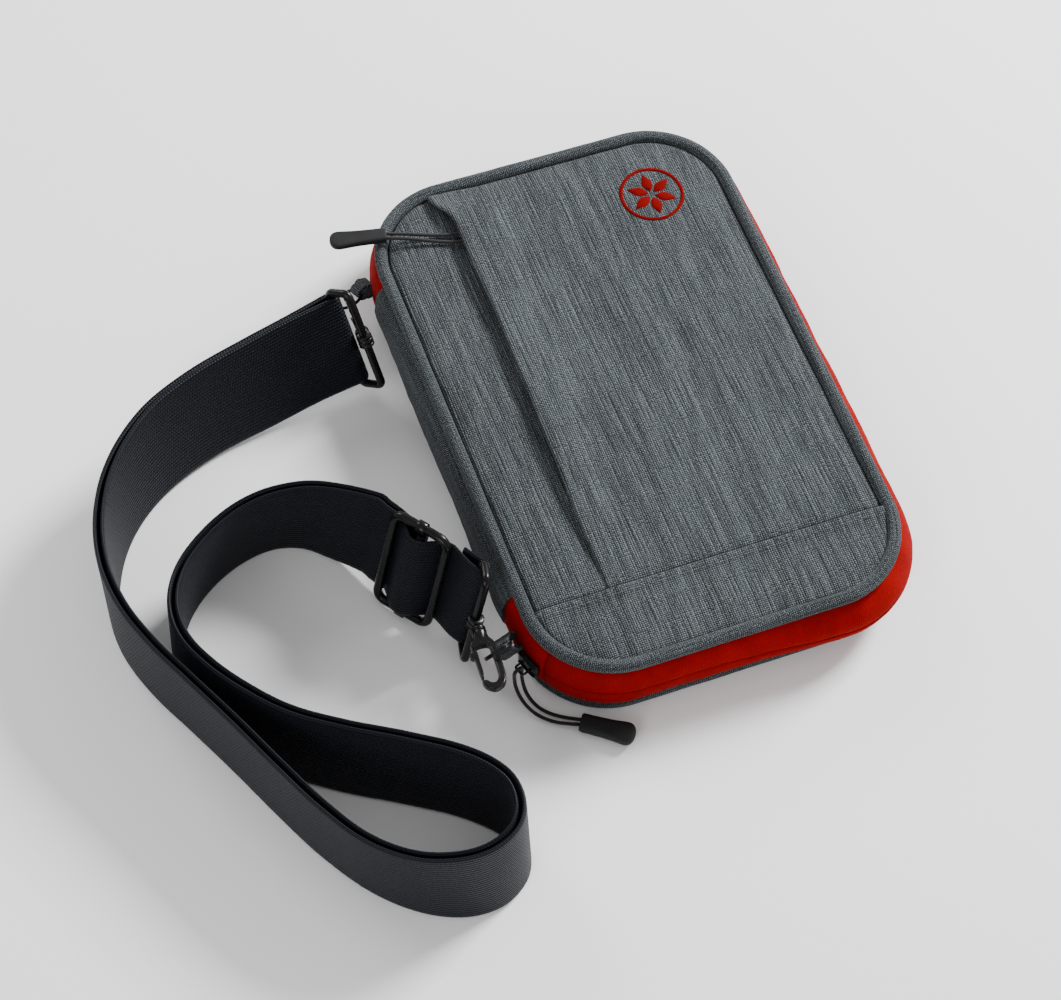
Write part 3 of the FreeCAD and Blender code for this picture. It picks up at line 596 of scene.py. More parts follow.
# Upper tape of the gusset from the piping down to the zip's parting line; the lower one mirrors it.
UPPER_TAPE = [(29.2, 26.6), (30.6, 26.2), (31.8, 25.3), (32.9, 23.6), (33.7, 21.4), (34.15, 19.0),
              (34.3, 17.4), (34.25, 16.6), (34.05, 15.95), (33.75, 15.75), (33.2, 15.78), (33.0, 16.4),
              (32.8, 18.2), (32.4, 20.4), (31.4, 22.8), (30.2, 24.6), (29.0, 25.2)]
COIL_U = 32.9       # how far the zip's coil stands out from the corner centres


def gusset_swell(p):
    """How far the filled case pushes its zip side out, most along the right-hand side."""
    right = 0.5 + 0.5 * math.tanh((p.x - 22.0) / 22.0)
    return -0.5 + right * (3.9 - 1.0 * min(max(p.y / 90.0, -0.3), 1.0))


def gusset_shape(mirror):
    def shape(u, z, base, out, run):
        p = base + out * u
        mid = max(0.0, 1 - (abs(z - ZIP_Z) / 10.8) ** 1.8)
        bulge = gusset_swell(p) * mid
        bulge += wrinkle((p.x, p.y, z * 0.5), 11.0, 0.45) * mid + wrinkle((p.x, p.y, z), 4.0, 0.12, 3.0)
        return (u + bulge if u > 30.9 else u), (2 * ZIP_Z - z if mirror else z)
    return shape


for label, body, mirror in (("front", "cover", False), ("back", "case", True)):
    rim_mesh(label + "_gusset_cloth", UPPER_TAPE, ZIP_RUN, RED, body,
             [f"{label}_gusset_{part}" for part in ("corners", "right", "top", "bottom")],
             loop=True, caps=True, step=1.5, shape=gusset_shape(mirror))
for label, run in (("top", TOP_END), ("bottom", LOW_END)):
    for half, mirror in (("upper", False), ("lower", True)):
        rim_mesh(f"zip_end_{label}_{half}", UPPER_TAPE, run, RED, "case",
                 ("zip_end_" + label,) if half == "upper" else (), loop=True, caps=True, step=1.5,
                 shape=gusset_shape(mirror))


def coil_strip(name, zc, body, node):
    """Row of coil turns of one side of the zip."""
    stations = edge_run(ZIP_RUN, 0.95)
    verts, faces, uvs = [], [], []
    for base, out, dist in stations:
        along = V((-out.y, out.x, 0))
        centre = base + out * (COIL_U + max(gusset_swell(base + out * 33), 0.0)) + V((0, 0, zc))
        start = len(verts)
        for c, s in circle(8):
            turn = centre + out * c * 0.55 + V((0, 0, s * 0.75))
            verts += [tuple((turn + along * shift) * MM) for shift in (-0.3, 0.3)]
        for k in range(8):
            k2 = (k + 1) % 8
            faces.append((start + 2 * k, start + 2 * k2, start + 2 * k2 + 1, start + 2 * k + 1))
            uvs += [(dist, k), (dist, k + 1), (dist + 0.6, k + 1), (dist + 0.6, k)]
        faces += [tuple(start + 2 * k for k in range(7, -1, -1)), tuple(start + 2 * k + 1 for k in range(8))]
        uvs += [(0, 0)] * 16
    return finish_mesh(name, verts, faces, uvs, RED_COIL, body, (node,), smooth=False)


coil_strip("front_coil_teeth", 16.65, "cover", "front_zip_coil")
coil_strip("back_coil_teeth", 14.45, "case", "back_zip_coil")

SPINE_PROFILE = [(30.4, 25.6), (31.7, 25.5), (33.0, 24.4), (34.2, 22.0), (34.9, 18.8), (35.1, 15.5),
                 (35.15, 12.4), (34.5, 9.4), (33.3, 7.0), (31.9, 5.5), (30.4, 4.8), (29.2, 5.4),
                 (30.2, 6.2), (31.9, 7.8), (33.1, 10.2), (33.9, 13.0), (34.0, 15.5), (33.9, 18.2),
                 (33.2, 20.8), (32.2, 23.2), (31.0, 24.6), (29.8, 25.2)]


def spine_shape(u, z, base, out, run):
    p = base + out * u
    end = min(p.y - SPINE_Y[0], SPINE_Y[1] - p.y)
    pinch = math.exp(-max(end, 0) / 3.0)
    mid = max(0.0, 1 - abs(z - ZIP_Z) / 11.0)
    bulge = wrinkle((0, p.y, z * 0.6), 13.0, 0.8) * mid + wrinkle((0, p.y, z), 5.0, 0.2, 7.0)
    return u + (bulge - 0.5 * pinch * mid if u > 30.8 else 0), z


rim_mesh("spine_cloth", SPINE_PROFILE, SPINE_RUN, GREY_PIPE, "case", ("spine_cover",),
         loop=True, caps=True, step=1.2, shape=spine_shape)


# ---------------------------------------------------------------- panels
def edge_u(x, y):
    return math.hypot(max(abs(x) - HX, 0.0), max(abs(y) - HY, 0.0))


def half_width(y, u):
    """Half the width of the rounded outline at height y, its edge u from the corner centres."""
    over = max(abs(y) - HY, 0.0)
    return HX + math.sqrt(max(u * u - over * over, 0.0)) if over <= u else 0.0


def ease(t):
    t = min(max(t, 0.0), 1.0)
    return t * t * (3 - 2 * t)


def spaced(lo, hi, step):
    return even(lo, hi, max(2, round(abs(hi - lo) / step)))


def band_side_ys(top, step):
    """Rows from under the band up to the top, close together beside the band's fold."""
    return spaced(BAND_Y - 2.5, BAND_Y + 2.0, 0.35) + spaced(BAND_Y + 3.2, top, step)


def outline_row(y, u, count):
    """Places in x across the rounded outline at y."""
    half = half_width(y, u)
    return even(-half, half, count)


def crowned(base, x, y):
    """Height of the padded front: it dips to the seam beside the piping, and along the band's fold."""
    d = PANEL_EDGE - edge_u(x, y)
    base -= 0.5 * math.exp(-((y - BAND_Y - 0.45) / 0.5) ** 2)
    base -= 0.9 * math.exp(-max(d, 0) / 1.5)
    return base + wrinkle((x, y, 0), 26.0, 0.22) + wrinkle((x, y, 0), 8.0, 0.06, 9.0)


def fold_x(y):
    """Folded edge of the pocket's flap."""
    line = -36.2 + (y - 40.0) * 0.0165 * (1 if y < 40 else 0.4)
    return line - 5.5 * ease((y - 84.0) / 14.0) + 0.25 * math.sin(y / 17.0)


def flap_lift(y):
    """How far the flap's edge stands off the panel below it."""
    return 3.5 * ease((y - BAND_Y) / 56.0) * (1 - 0.55 * ease((y - 90.0) / 9.0))


def flap_height(x, y):
    reach = ease(1 - (x - fold_x(y)) / 23.0)
    crease = -0.35 * math.exp(-((x - fold_x(y) - 5.2) / 1.4) ** 2) * ease((y - BAND_Y) / 30.0)
    return crowned(29.65, x, y) + (flap_lift(y) + 0.55) * reach + crease


def relax(obj, pinned, pressure=1.6, cap=0.55, frames=16):
    """Lets the cloth settle by simulation, held where pinned(x, y) is true, then keeps the result."""
    start = [v.co.copy() for v in obj.data.vertices]
    group = obj.vertex_groups.new(name="held")
    held = [v.index for v in obj.data.vertices if pinned(v.co.x / MM, v.co.y / MM)]
    group.add(held, 1.0, "REPLACE")
    mod = obj.modifiers.new("cloth", "CLOTH")
    settings = mod.settings
    settings.quality = 5
    settings.mass = 0.3
    settings.tension_stiffness = settings.compression_stiffness = 12
    settings.shear_stiffness = 4
    settings.bending_stiffness = 0.4
    settings.use_pressure = True
    settings.uniform_pressure_force = pressure
    settings.vertex_group_mass = "held"
    settings.effector_weights.gravity = 0.0
    mod.collision_settings.use_collision = False
    scene = bpy.context.scene
    for f in range(1, frames + 1):
        scene.frame_set(f)
    graph = bpy.context.evaluated_depsgraph_get()
    settled = obj.evaluated_get(graph).to_mesh()
    moved = [v.co.copy() for v in settled.vertices]
    obj.evaluated_get(graph).to_mesh_clear()
    obj.modifiers.remove(mod)
    for vert, old, new in zip(obj.data.vertices, start, moved):
        step = new - old
        if step.length > cap * MM:
            step *= cap * MM / step.length
        vert.co = old + step
    scene.frame_set(1)
    obj.data.update()


def cloth(name, rows, body, node, thick, material=GREY, uvs=None, pins=None,
          offset=-1.0):
    """Sheet through rows of points. UVs follow x and y unless given; pins(x, y) is what relax holds."""
    obj = build(name, rows, uvs or (lambda i, j: (rows[i][j].x, rows[i][j].y)), material, body,
                (node,) if node else ())
    if pins:
        relax(obj, pins)
    return solidify(obj, thick, offset)


def uvs_along(rows):
    """UVs that measure each row's own length back from its last point."""
    along = [arc_length(row) for row in rows]
    return lambda i, j: (rows[i][-1].x - along[i][-1] + along[i][j], rows[i][j].y)


def pocket_height(x, y):
    return crowned(29.55, x, y) - 0.6 * ease((x + 46.0) / 9.0) * ease((y - BAND_Y) / 20.0)


def pocket_cloth():
    """Front cloth left of the flap; it sinks where the flap covers it."""
    rows = [[V((x, y, pocket_height(x, y))) for x in even(-half_width(y, PANEL_EDGE), POCKET_CLOTH_X, 26)]
            for y in band_side_ys(HY + PANEL_EDGE - 0.25, 1.6)]
    cloth("front_pocket_cloth", rows, "cover", "front_left_panel", 0.5)


def outline_pins(x, y):
    return PANEL_EDGE - edge_u(x, y) < 1.2


def flap_row(y):
    """Points across the flap: the hem turned under, the fold, then the flat of the flap."""
    x0, x1 = fold_x(y), half_width(y, PANEL_EDGE)
    hem = [(9.0, 1.75), (5.0, 1.7), (1.6, 1.6), (0.45, 1.4), (0.02, 0.95), (0.12, 0.45), (0.6, 0.12)]
    columns = [(x0 + reach, drop) for reach, drop in hem] + [(x, 0.0) for x in even(x0 + 1.3, x1, 72)]
    return [V((x, y, flap_height(x, y) - drop)) for x, drop in columns]


def flap_pins(x, y):
    return outline_pins(x, y) or y < BAND_Y or x < fold_x(y) + 9.5


def flap_panel():
    rows = [flap_row(y) for y in band_side_ys(TOP_Y, 1.5)]
    return cloth("front_flap_cloth", rows, "cover", "front_flap_panel", 0.6, uvs=uvs_along(rows),
                 pins=flap_pins)


def band_height(x, y):
    over = ease((y - BAND_Y + 6.5) / 5.0)
    side_rise = 0.6 * ease(1 - (x - fold_x(BAND_Y)) / 16.0) * (1 if x > fold_x(BAND_Y) else 0.0)
    return crowned(29.75, x, y) + over * (1.1 + side_rise)


def band_pins(x, y):
    return outline_pins(x, y) or y > BAND_Y - 5


def bottom_band():
    """Band across the foot of the cover, its top edge folded under."""
    stations = [(y, 0.0) for y in spaced(-TOP_Y - BAND_TUCK, BAND_Y - 1.2, 1.3)]
    stations += [(BAND_Y - back, drop) for back, drop in ((0.6, 0.0), (0.15, 0.16), (0.0, 0.6), (0.1, 1.05),
                                                          (0.6, 1.2), (1.8, 1.25), (3.2, 1.3))]
    rows = [[V((x, y, band_height(x, y) - drop)) for x in outline_row(y, PANEL_EDGE + BAND_TUCK, 66)]
            for y, drop in stations]
    cloth("front_band_cloth", rows, "cover", "front_bottom_band", 0.55, pins=band_pins,
          uvs=lambda i, j: (rows[i][j].x + BAND_UV_SHIFT[0], rows[i][j].y + BAND_UV_SHIFT[1]))
    seam_y = BAND_Y - 3.0
    seam = [(x, seam_y, band_height(x, seam_y) + 0.12) for x in spaced(-61, 61, 2.0)]
    stitches("band_topstitch", seam, "cover", THREAD, pitch=2.6, length=2.1, radius=0.2,
             sink=0.12)


def back_height(x, y):
    d = PANEL_EDGE - edge_u(x, y)
    return 0.12 + 1.2 * math.exp(-max(d, 0) / 1.6) + abs(wrinkle((x, y, 50), 20.0, 0.25))


def back_panel():
    rows = [[V((x, y, back_height(x, y))) for x in reversed(outline_row(y, PANEL_EDGE, 60))]
            for y in spaced(-TOP_Y, TOP_Y, 2.2)]
    cloth("back_cloth", rows, "case", "back_panel", 0.6, uvs=uvs_along(rows))


def plain_plate(name, u, z0, z1, material, body, node, bumps):
    """Flat sheet with rounded edges; its faces are slightly uneven."""
    end = HY + u - 0.1
    rows = [[V((x, y, z1 + wrinkle((x, y, z1), 15.0, bumps) - bumps)) for x in outline_row(y, u, 48)]
            for y in spaced(-end, end, 2.6)]
    obj = cloth(name, rows, body, node, z1 - z0 - 2 * bumps, material)
    round_edges(obj, min(0.5, (z1 - z0) * 0.3))
    return obj


pocket_cloth()
flap = flap_panel()
bottom_band()
back_panel()
back_foam = plain_plate("back_foam", 26.9, 1.3, 3.95, BOARD, "case", "back_board", 0.03)
front_foam = plain_plate("front_foam", 26.9, 26.05, 28.3, BOARD, "cover", "front_board", 0.03)
plain_plate("back_lining_cloth", 26.5, 4.02, 4.68, LINING, "case", "back_lining", 0.08)
plain_plate("front_lining_cloth", 26.5, 25.22, 25.98, LINING, "cover", "front_lining", 0.08)


def lining_stitch(name, z, body, up):
    path = [base + out * 24.5 + V((0, 0, z)) for base, out, run in edge_run(ALL_ROUND, 3.0)]
    stitches(name, path, body, DARK_THREAD, pitch=3.4, length=2.5, normal=lambda p: V((0, 0, up)))


lining_stitch("back_lining_stitch", 4.78, "case", 1)
lining_stitch("front_lining_stitch", 25.12, "cover", -1)


def pocket_sag(y):
    """How far the slip pocket's open lip hangs at y."""
    return 0.35 * math.sin(math.pi * (y + SLIP_Y) / (2 * SLIP_Y))


def slip_pocket():
    """Open pocket on the cover's lining, with the stitches along its lip and its seam."""
    rows = []
    for y in spaced(-SLIP_Y, SLIP_Y, 2.5):
        rows.append([V((x, y, 24.85 - pocket_sag(y) * ease(1 - (x - SLIP_X[0]) / 10)
                        - abs(wrinkle((x, y, 3), 18.0, 0.2)))) for x in spaced(*SLIP_X, 2.2)])
    cloth("slip_pocket_cloth", rows, "cover", "inner_pocket", 0.5, LINING, offset=0.0)
    down = lambda p: V((0, 0, -1))
    lip = [(-33, y, 24.35 - pocket_sag(y)) for y in spaced(-86, 86, 3)]
    seam = [(-30, -86.5, 24.4), (54.5, -86.5, 24.4), (54.5, 86.5, 24.4), (-30, 86.5, 24.4)]
    for name, path in (("slip_pocket_stitch", lip), ("slip_pocket_seam", seam)):
        stitches(name, path, "cover", DARK_THREAD, normal=down)


def pocket_tapes():
    """Both sides of the pocket's zip, under the flap."""
    for label, x0, node in (("left", -35.2, "pocket_zip_tape"), ("right", -29.7, None)):
        rows = [[V((x0 + 4.9 * j / 4, y, 29.05 + 0.1 * math.sin(j * 0.8))) for j in range(5)]
                for y in spaced(-72, 88, 2)]
        cloth("pocket_tape_" + label, rows, "cover", node, 0.5, POCKET_TAPE,
              uvs=lambda i, j: (j, i * 2))


def zip_stops():
    """Rounded stop at each end of the main zip."""
    for label, y0, y1, nodes in (("low", SPINE_Y[0] - 3.4, SPINE_Y[0] - 0.9, ("zip_stops",)),
                                 ("top", SPINE_Y[1] + 0.9, SPINE_Y[1] + 2.5, ())):
        rows = []
        for f, pull_in in ((0.0, 0.25), (0.12, 0.05), (0.5, 0.0), (0.88, 0.05), (1.0, 0.25)):
            rows.append([V((-HX - 32.15 + (0.75 - pull_in) * c, y0 + (y1 - y0) * f,
                            13.85 + (1.22 - pull_in) * s)) for c, s in circle(10)])
        build("zip_stop_" + label, rows, lambda i, j: (i, j), RED_COIL, "case", nodes, loop=True,
              caps=True)


def spine_stiffener():
    """Curved board inside the spine's cloth."""
    profile = [(31.3, 9.1), (32.2, 9.2), (33.0, 10.6), (33.5, 12.4), (33.6, 15.5), (33.5, 18.8), (32.5, 21.7),
               (31.5, 21.7), (32.3, 18.8), (32.6, 15.5), (32.4, 12.5)]
    rows = [[V((-HX - u, y, z)) for u, z in profile] for y in spaced(SPINE_Y[0] + 2.2, SPINE_Y[1] - 2.2, 2.5)]
    build("spine_stiffener", rows, lambda i, j: (i * 2.5, j), BOARD, "case", ("spine_lining",),
          loop=True, caps=True)


slip_pocket()
pocket_tapes()
zip_stops()
spine_stiffener()


# ---------------------------------------------------------------- printed rosette
ROSETTE_AT = V((37.5, 75.0, 0))
ROSETTE_RING = (10.7, 12.0)     # inner and outer radius of its ring
PRINT_RISE = 0.33               # the print's face stands this far above the cloth


def rosette():
    """Ring and six petals, laid on the settled cloth of the flap."""
    verts, faces, uvs = [], [], []
    below = BVHTree.FromPolygons([v.co for v in flap.data.vertices], [p.vertices for p in flap.data.polygons])

    def top(p):
        hit = below.ray_cast(V((p.x, p.y, 60.0)) * MM, V((0, 0, -1)))[0]
        return hit.z / MM + PRINT_RISE

    def ribbon(inner, outer):
        start, count = len(verts), len(inner)
        for a, b in zip(inner, outer):
            edge = (b - a) * 0.12
            for p, drop in ((a, 0.3), (a + edge, 0.0), (b - edge, 0.0), (b, 0.3)):
                q = ROSETTE_AT + p
                verts.append(tuple(V((q.x, q.y, top(q) - drop)) * MM))
        for i in range(count - 1):
            for k in range(3):
                s = start + i * 4 + k
                faces.append((s, s + 1, s + 5, s + 4))
                uvs.extend([(verts[n][0] / MM, verts[n][1] / MM) for n in (s, s + 1, s + 5, s + 4)])

    round_line = [V((c, -s, 0)) for c, s in circle(96) + [(1.0, 0.0)]]
    ribbon(*[[p * radius for p in round_line] for radius in ROSETTE_RING])
    for k in range(6):
        spin = Matrix.Rotation(math.radians(60 * k + 30), 3, "Z")
        left, right = [], []
        for i in range(17):
            f = i / 16
            r, w = 1.5 + 7.6 * f, 1.95 * math.sin(math.pi * f ** 0.85) + 0.03
            left.append(spin @ V((r, w, 0)))
            right.append(spin @ V((r, -w, 0)))
        ribbon(left, right)
    finish_mesh("rosette_print", verts, faces, uvs, RED_PRINT, "cover", ("front_rosette",))


rosette()


# ---------------------------------------------------------------- hardware helpers
def axes_at(origin, x, y, z):
    """Placement at origin with the three unit axes."""
    return Matrix.Translation(origin) @ Matrix((x, y, z)).transposed().to_4x4()


def frame_at(origin, along, across):
    """Placement whose X runs along, and whose Y lies as near to across as it can."""
    x = V(along).normalized()
    z = x.cross(V(across)).normalized()
    return axes_at(origin, x, z.cross(x), z)


def square_to(direction, axis):
    """The part of direction that is square to axis."""
    unit = V(axis).normalized()
    return V(direction) - unit * V(direction).dot(unit)


def sweep(name, path, radius, place, body, stands_for=(), closed=True, count=14):
    """Round metal wire along a path of local points."""
    rows, n = [], len(path)
    for i, p in enumerate(path):
        a = path[(i - 1) % n] if closed or i else path[0]
        b = path[(i + 1) % n] if closed or i < n - 1 else path[-1]
        along = (V(b) - V(a)).normalized()
        up = V((0, 0, 1)) if abs(along.z) < 0.95 else V((0, 1, 0))
        side_v = along.cross(up).normalized()
        up = side_v.cross(along)
        rows.append([place @ (V(p) + side_v * c * radius + up * s * radius) for c, s in circle(count)])
    if closed:
        rows.append(rows[0])
    return build(name, rows, lambda i, j: (i, j), METAL, body, stands_for, loop=True,
                 caps=not closed)


def lathe(name, profile, place, axis, body, stands_for=(), count=28):
    """Turned metal piece: (distance, radius) pairs along local X or Y."""
    rows = []
    for d, r in profile:
        turn = [(c * r, s * r) for c, s in circle(count)]
        rows.append([place @ (V((d, c, s)) if axis == "X" else V((c, d, s))) for c, s in turn])
    obj = build(name, rows, lambda i, j: (i, j), METAL, body, stands_for, loop=True, caps=True)
    obj.modifiers.new("edges", "EDGE_SPLIT").split_angle = math.radians(50)
    return obj


def rounded_loop(x0, x1, half_y, bend, step=1.2):
    """Closed path round a rectangle with rounded corners."""
    points = []
    y1 = half_y - bend
    for cx, cy, a0 in ((x1 - bend, y1, 0), (x0 + bend, y1, 90), (x0 + bend, -y1, 180), (x1 - bend, -y1, 270)):
        for i in range(7):
            a = math.radians(a0 + 15 * i)
            points.append(V((cx + bend * math.cos(a), cy + bend * math.sin(a), 0)))
    dense = []
    for a, b in zip(points, points[1:] + points[:1]):
        pieces = max(1, round((b - a).length / step))
        dense += [a.lerp(b, i / pieces) for i in range(pieces)]
    return dense


def smooth_outline(points):
    """Outline with its corners cut twice."""
    for _ in range(2):
        cut = []
        for a, b in zip(points, points[1:] + points[:1]):
            a, b = V((*a[:2], 0)), V((*b[:2], 0))
            cut += [a.lerp(b, 0.22), a.lerp(b, 0.78)]
        points = cut
    return points


def cast_plate(name, points, thick, place, body, stands_for, bevel=0.55):
    """Cast metal piece: smoothed outline pushed out to both sides by half of thick(p), edges rounded."""
    outline = smooth_outline(points)
    count = len(outline)
    verts = [tuple((place @ V((p.x, p.y, sign * thick(p) / 2))) * MM) for sign in (-1, 1) for p in outline]
    faces = [tuple(range(count - 1, -1, -1)), tuple(range(count, 2 * count))]
    faces += [(i, (i + 1) % count, (i + 1) % count + count, i + count) for i in range(count)]
    obj = finish_mesh(name, verts, faces, [(0, 0)] * (6 * count), METAL, body, stands_for)
    mod = round_edges(obj, bevel, 4)
    mod.limit_method = "ANGLE"
    mod.angle_limit = math.radians(50)
    obj.modifiers.new("normals", "WEIGHTED_NORMAL").keep_sharp = True
    return obj


LOOP_WIRE_R, LOOP_DEPTH, LOOP_HALF = 1.5, 8.8, 20.2
CLAW_START, CLAW_LENGTH = 3.3, 27.0
ADJ_CENTRE, ADJ_ALONG, ADJ_UP = V((-96.5, -41.4, 22.9)), V((0.6, -0.8, 0)), V((0.2, 0.21, 0.957))
ADJ = frame_at(ADJ_CENTRE, ADJ_ALONG, ADJ_UP)
LOWER_BAR = ADJ @ V((24.0, 0, -1.4))
LOWER_DIR = ADJ.to_3x3() @ V((0, 1, 0))
# Loop bar's centre and direction, the direction of the loop's depth, the hook's axis and its gate's side,
# the ring's centre in the claw's own placement, the ring's axis, the side on which its tab is sewn down, and
# the tab's length.
HOOKS = {"upper": (V((-87.5, 55.9, 22.4)), V((-0.163, 0.449, 0.878)), V((0.62, -0.63, 0.41)),
                   V((0.065, 0.935, -0.344)), V((-0.24, 0.43, 0.87)), V((30.6, 0.2, 0)),
                   V((-0.238, 0.448, 0.862)), V((1, 0.2, 0)), 4.4),
         "lower": (LOWER_BAR, LOWER_DIR, V((-0.234, -0.944, 0.24)), V((-0.1, -0.97, 0.2)), V((-1, 0.1, 0)),
                   V((14.4, -4.4, 0)), V((0.266, -0.896, -0.35)), V((0.484, 0.444, -0.75)), 12.2)}
RING_R, RING_WIRE_R = 5.2, 0.34
RING_TABS = {"upper": (7.0, 1.85, 0.6), "lower": (7.4, 1.85, 1.5)}     # width, core, spread


def hook(label):
    """Swivel snap hook on its loop, with the split ring that it holds and the ring's tab."""
    bar, bar_dir, depth, axis, gate_side, ring_at, ring_axis, tab_side, tab_length = HOOKS[label]
    loop_at = frame_at(bar, square_to(depth, bar_dir), bar_dir)
    outer = loop_at @ V((LOOP_DEPTH, 0, 0))
    axis = square_to(axis, bar_dir)
    swivel_at, claw_at = frame_at(outer, axis, bar_dir), frame_at(outer, axis, gate_side)
    sweep(label + "_loop_wire", rounded_loop(0, LOOP_DEPTH, LOOP_HALF, 2.0), LOOP_WIRE_R, loop_at, "case",
          (label + "_hook_loop",))
    sleeve = [(-2.2, 1.62), (-2.2, 2.5), (-1.95, 2.8), (-1.2, 2.8), (-1.0, 2.62), (-0.8, 2.8),
              (0.8, 2.8), (1.0, 2.62), (1.2, 2.8), (1.95, 2.8), (2.2, 2.5), (2.2, 1.62)]
    lathe(label + "_swivel_sleeve", sleeve, swivel_at, "Y", label + "_swivel",
          (label + "_hook_swivel",))
    post = [(1.8, 1.6), (2.5, 1.35), (3.0, 1.1), (6.2, 1.1), (6.3, 1.4), (7.0, 1.4), (7.2, 1.15)]
    lathe(label + "_swivel_post", post, swivel_at, "X", label + "_swivel")
    s, e = CLAW_START, CLAW_START + CLAW_LENGTH
    outline = [(s + 2.0, -2.2), (s + 5, -2.4), (s + 8, -4.3), (s + 13, -4.4), (e - 5, -4.4),
               (e - 1.6, -3.2), (e, -0.6), (e, 1.0), (e - 1.6, 3.4), (e - 4.4, 4.4), (e - 4.6, 2.4),
               (e - 2.9, 1.2), (e - 2.9, -0.6), (e - 5.4, -2.0), (s + 13, -2.0), (s + 9.0, -2.0),
               (s + 8.0, -1.0), (s + 8.0, 1.8), (s + 9.0, 3.9), (s + 7.0, 4.6), (s + 4.6, 2.5),
               (s + 2.0, 2.2)]
    flare = lambda p: 2.6 + 0.7 * (1 - ease((p.x - s - 6.0) / 3.0))
    cast_plate(label + "_claw_casting", outline, flare, claw_at, label + "_claw", (label + "_hook_claw",))
    collar = [(s, 1.3), (s, 2.35), (s + 0.3, 2.6), (s + 1.1, 2.6), (s + 1.35, 2.35), (s + 1.6, 2.35),
              (s + 1.85, 2.6), (s + 2.8, 2.55), (s + 4.4, 2.1), (s + 6.4, 1.3)]
    lathe(label + "_claw_socket", collar, claw_at, "X", label + "_claw")
    rivet = [(-1.75, 0.3), (-1.7, 0.65), (-1.5, 0.75), (1.5, 0.75), (1.7, 0.65), (1.75, 0.3)]
    turn = claw_at @ Matrix.Translation((s + 8.0, 3.4, 0)) @ Matrix.Rotation(math.radians(90), 4, "X")
    lathe(label + "_rivet_pin", rivet, turn, "Y", label + "_claw", (label + "_hook_rivet",), 14)
    x0, x1 = s + 9.6, e - 5.7
    lever = [(x0, 2.75), (x0 + 3.5, 2.7), (x1, 2.75), (x1, 4.1), (x0 + 5.6, 4.2), (x0 + 3.2, 4.2),
             (x0 + 2.9, 5.2), (x0 + 1.9, 5.6), (x0 + 0.9, 5.2), (x0 + 0.7, 4.2), (x0, 4.15)]
    cast_plate(label + "_gate_lever", lever, lambda p: 2.15, claw_at, label + "_gate",
               (label + "_hook_gate",), bevel=0.4)
    ring(label, claw_at @ ring_at, ring_axis)
    ring_tab(label, claw_at @ ring_at, ring_axis, tab_side, tab_length)


def ring(label, centre, axis):
    """Split ring: flat wire wound two turns."""
    across = V((0, 0, 1)).cross(axis).normalized()
    place = axes_at(centre, across, V(axis).cross(across).normalized(), V(axis).normalized())
    path = []
    for i in range(97):
        a = math.tau * 2 * i / 96
        lift = 0.33 * math.tanh((i - 48) / 5.0)
        path.append(V((math.cos(a) * RING_R, math.sin(a) * RING_R, lift)))
    sweep(label + "_ring_wire", path, RING_WIRE_R, place, label + "_ring", (label + "_split_ring",),
          closed=False, count=10)


def ring_tab(label, centre, axis, tab_side, length):
    """Folded strip of cloth round the split ring, sewn into the seam, its plies standing apart."""
    outward = square_to(tab_side, axis).normalized()
    anchor = centre + outward * (RING_R + length)
    place = frame_at(anchor, outward * -1, V(axis).cross(outward))
    width, core, spread = RING_TABS[label]
    line = [(-0.6, -1.4), (length * 0.2, -1.6 - spread * 0.5), (length * 0.5, -1.9 - spread),
            (length * 0.75, -1.9 - spread * 0.6), (length - 1, -core)]
    bend = [math.radians(a) for a in range(0, 181, 18)]
    line += [(length + core * math.sin(a), -core * math.cos(a)) for a in bend]
    line += [(length - 1, core), (length * 0.75, 1.9 + spread * 0.6), (length * 0.5, 1.8 + spread),
             (length * 0.2, 1.4 + spread * 0.4), (-0.6, 1.0)]
    rows = []
    for x, z in line:
        spans = [(width * (j / 8 - 0.5) * (1 + 0.04 * math.sin(x)), j) for j in range(9)]
        rows.append([place @ V((x, y, z + 0.06 * math.sin(j * 2 + x))) for y, j in spans])
    run = arc_length([V((x, 0, z)) for x, z in line])
    obj = cloth("tab_cloth_" + label, rows, "case", "ring_tab_" + label, 0.75, GREY_PIPE,
                uvs=lambda i, j: (j * width / 8, run[i]), offset=0.0)
    round_edges(obj, 0.2)


hook("upper")
hook("lower")


# ---------------------------------------------------------------- adjuster
def adjuster():
    """Slide adjuster: rounded frame, cross bar and the two collars that join them."""
    sweep("adjuster_wire", rounded_loop(-10.5, 10.5, 20.9, 3.5), 1.6, ADJ, "case",
          ("strap_adjuster_frame",))
    lathe("adjuster_cross_bar", [(-19, 1.25), (-18.6, 1.3), (18.6, 1.3), (19, 1.25)], ADJ, "Y", "case",
          ("strap_adjuster_bar",))
    collar = [(-1.8, 1.68), (-1.8, 2.1), (-1.6, 2.3), (1.6, 2.3), (1.8, 2.1), (1.8, 1.68)]
    for i, y in enumerate((-20.9, 20.9)):
        lathe(f"adjuster_collar_{i}", collar, ADJ @ Matrix.Translation((0, y, 0)), "X", "case")


adjuster()


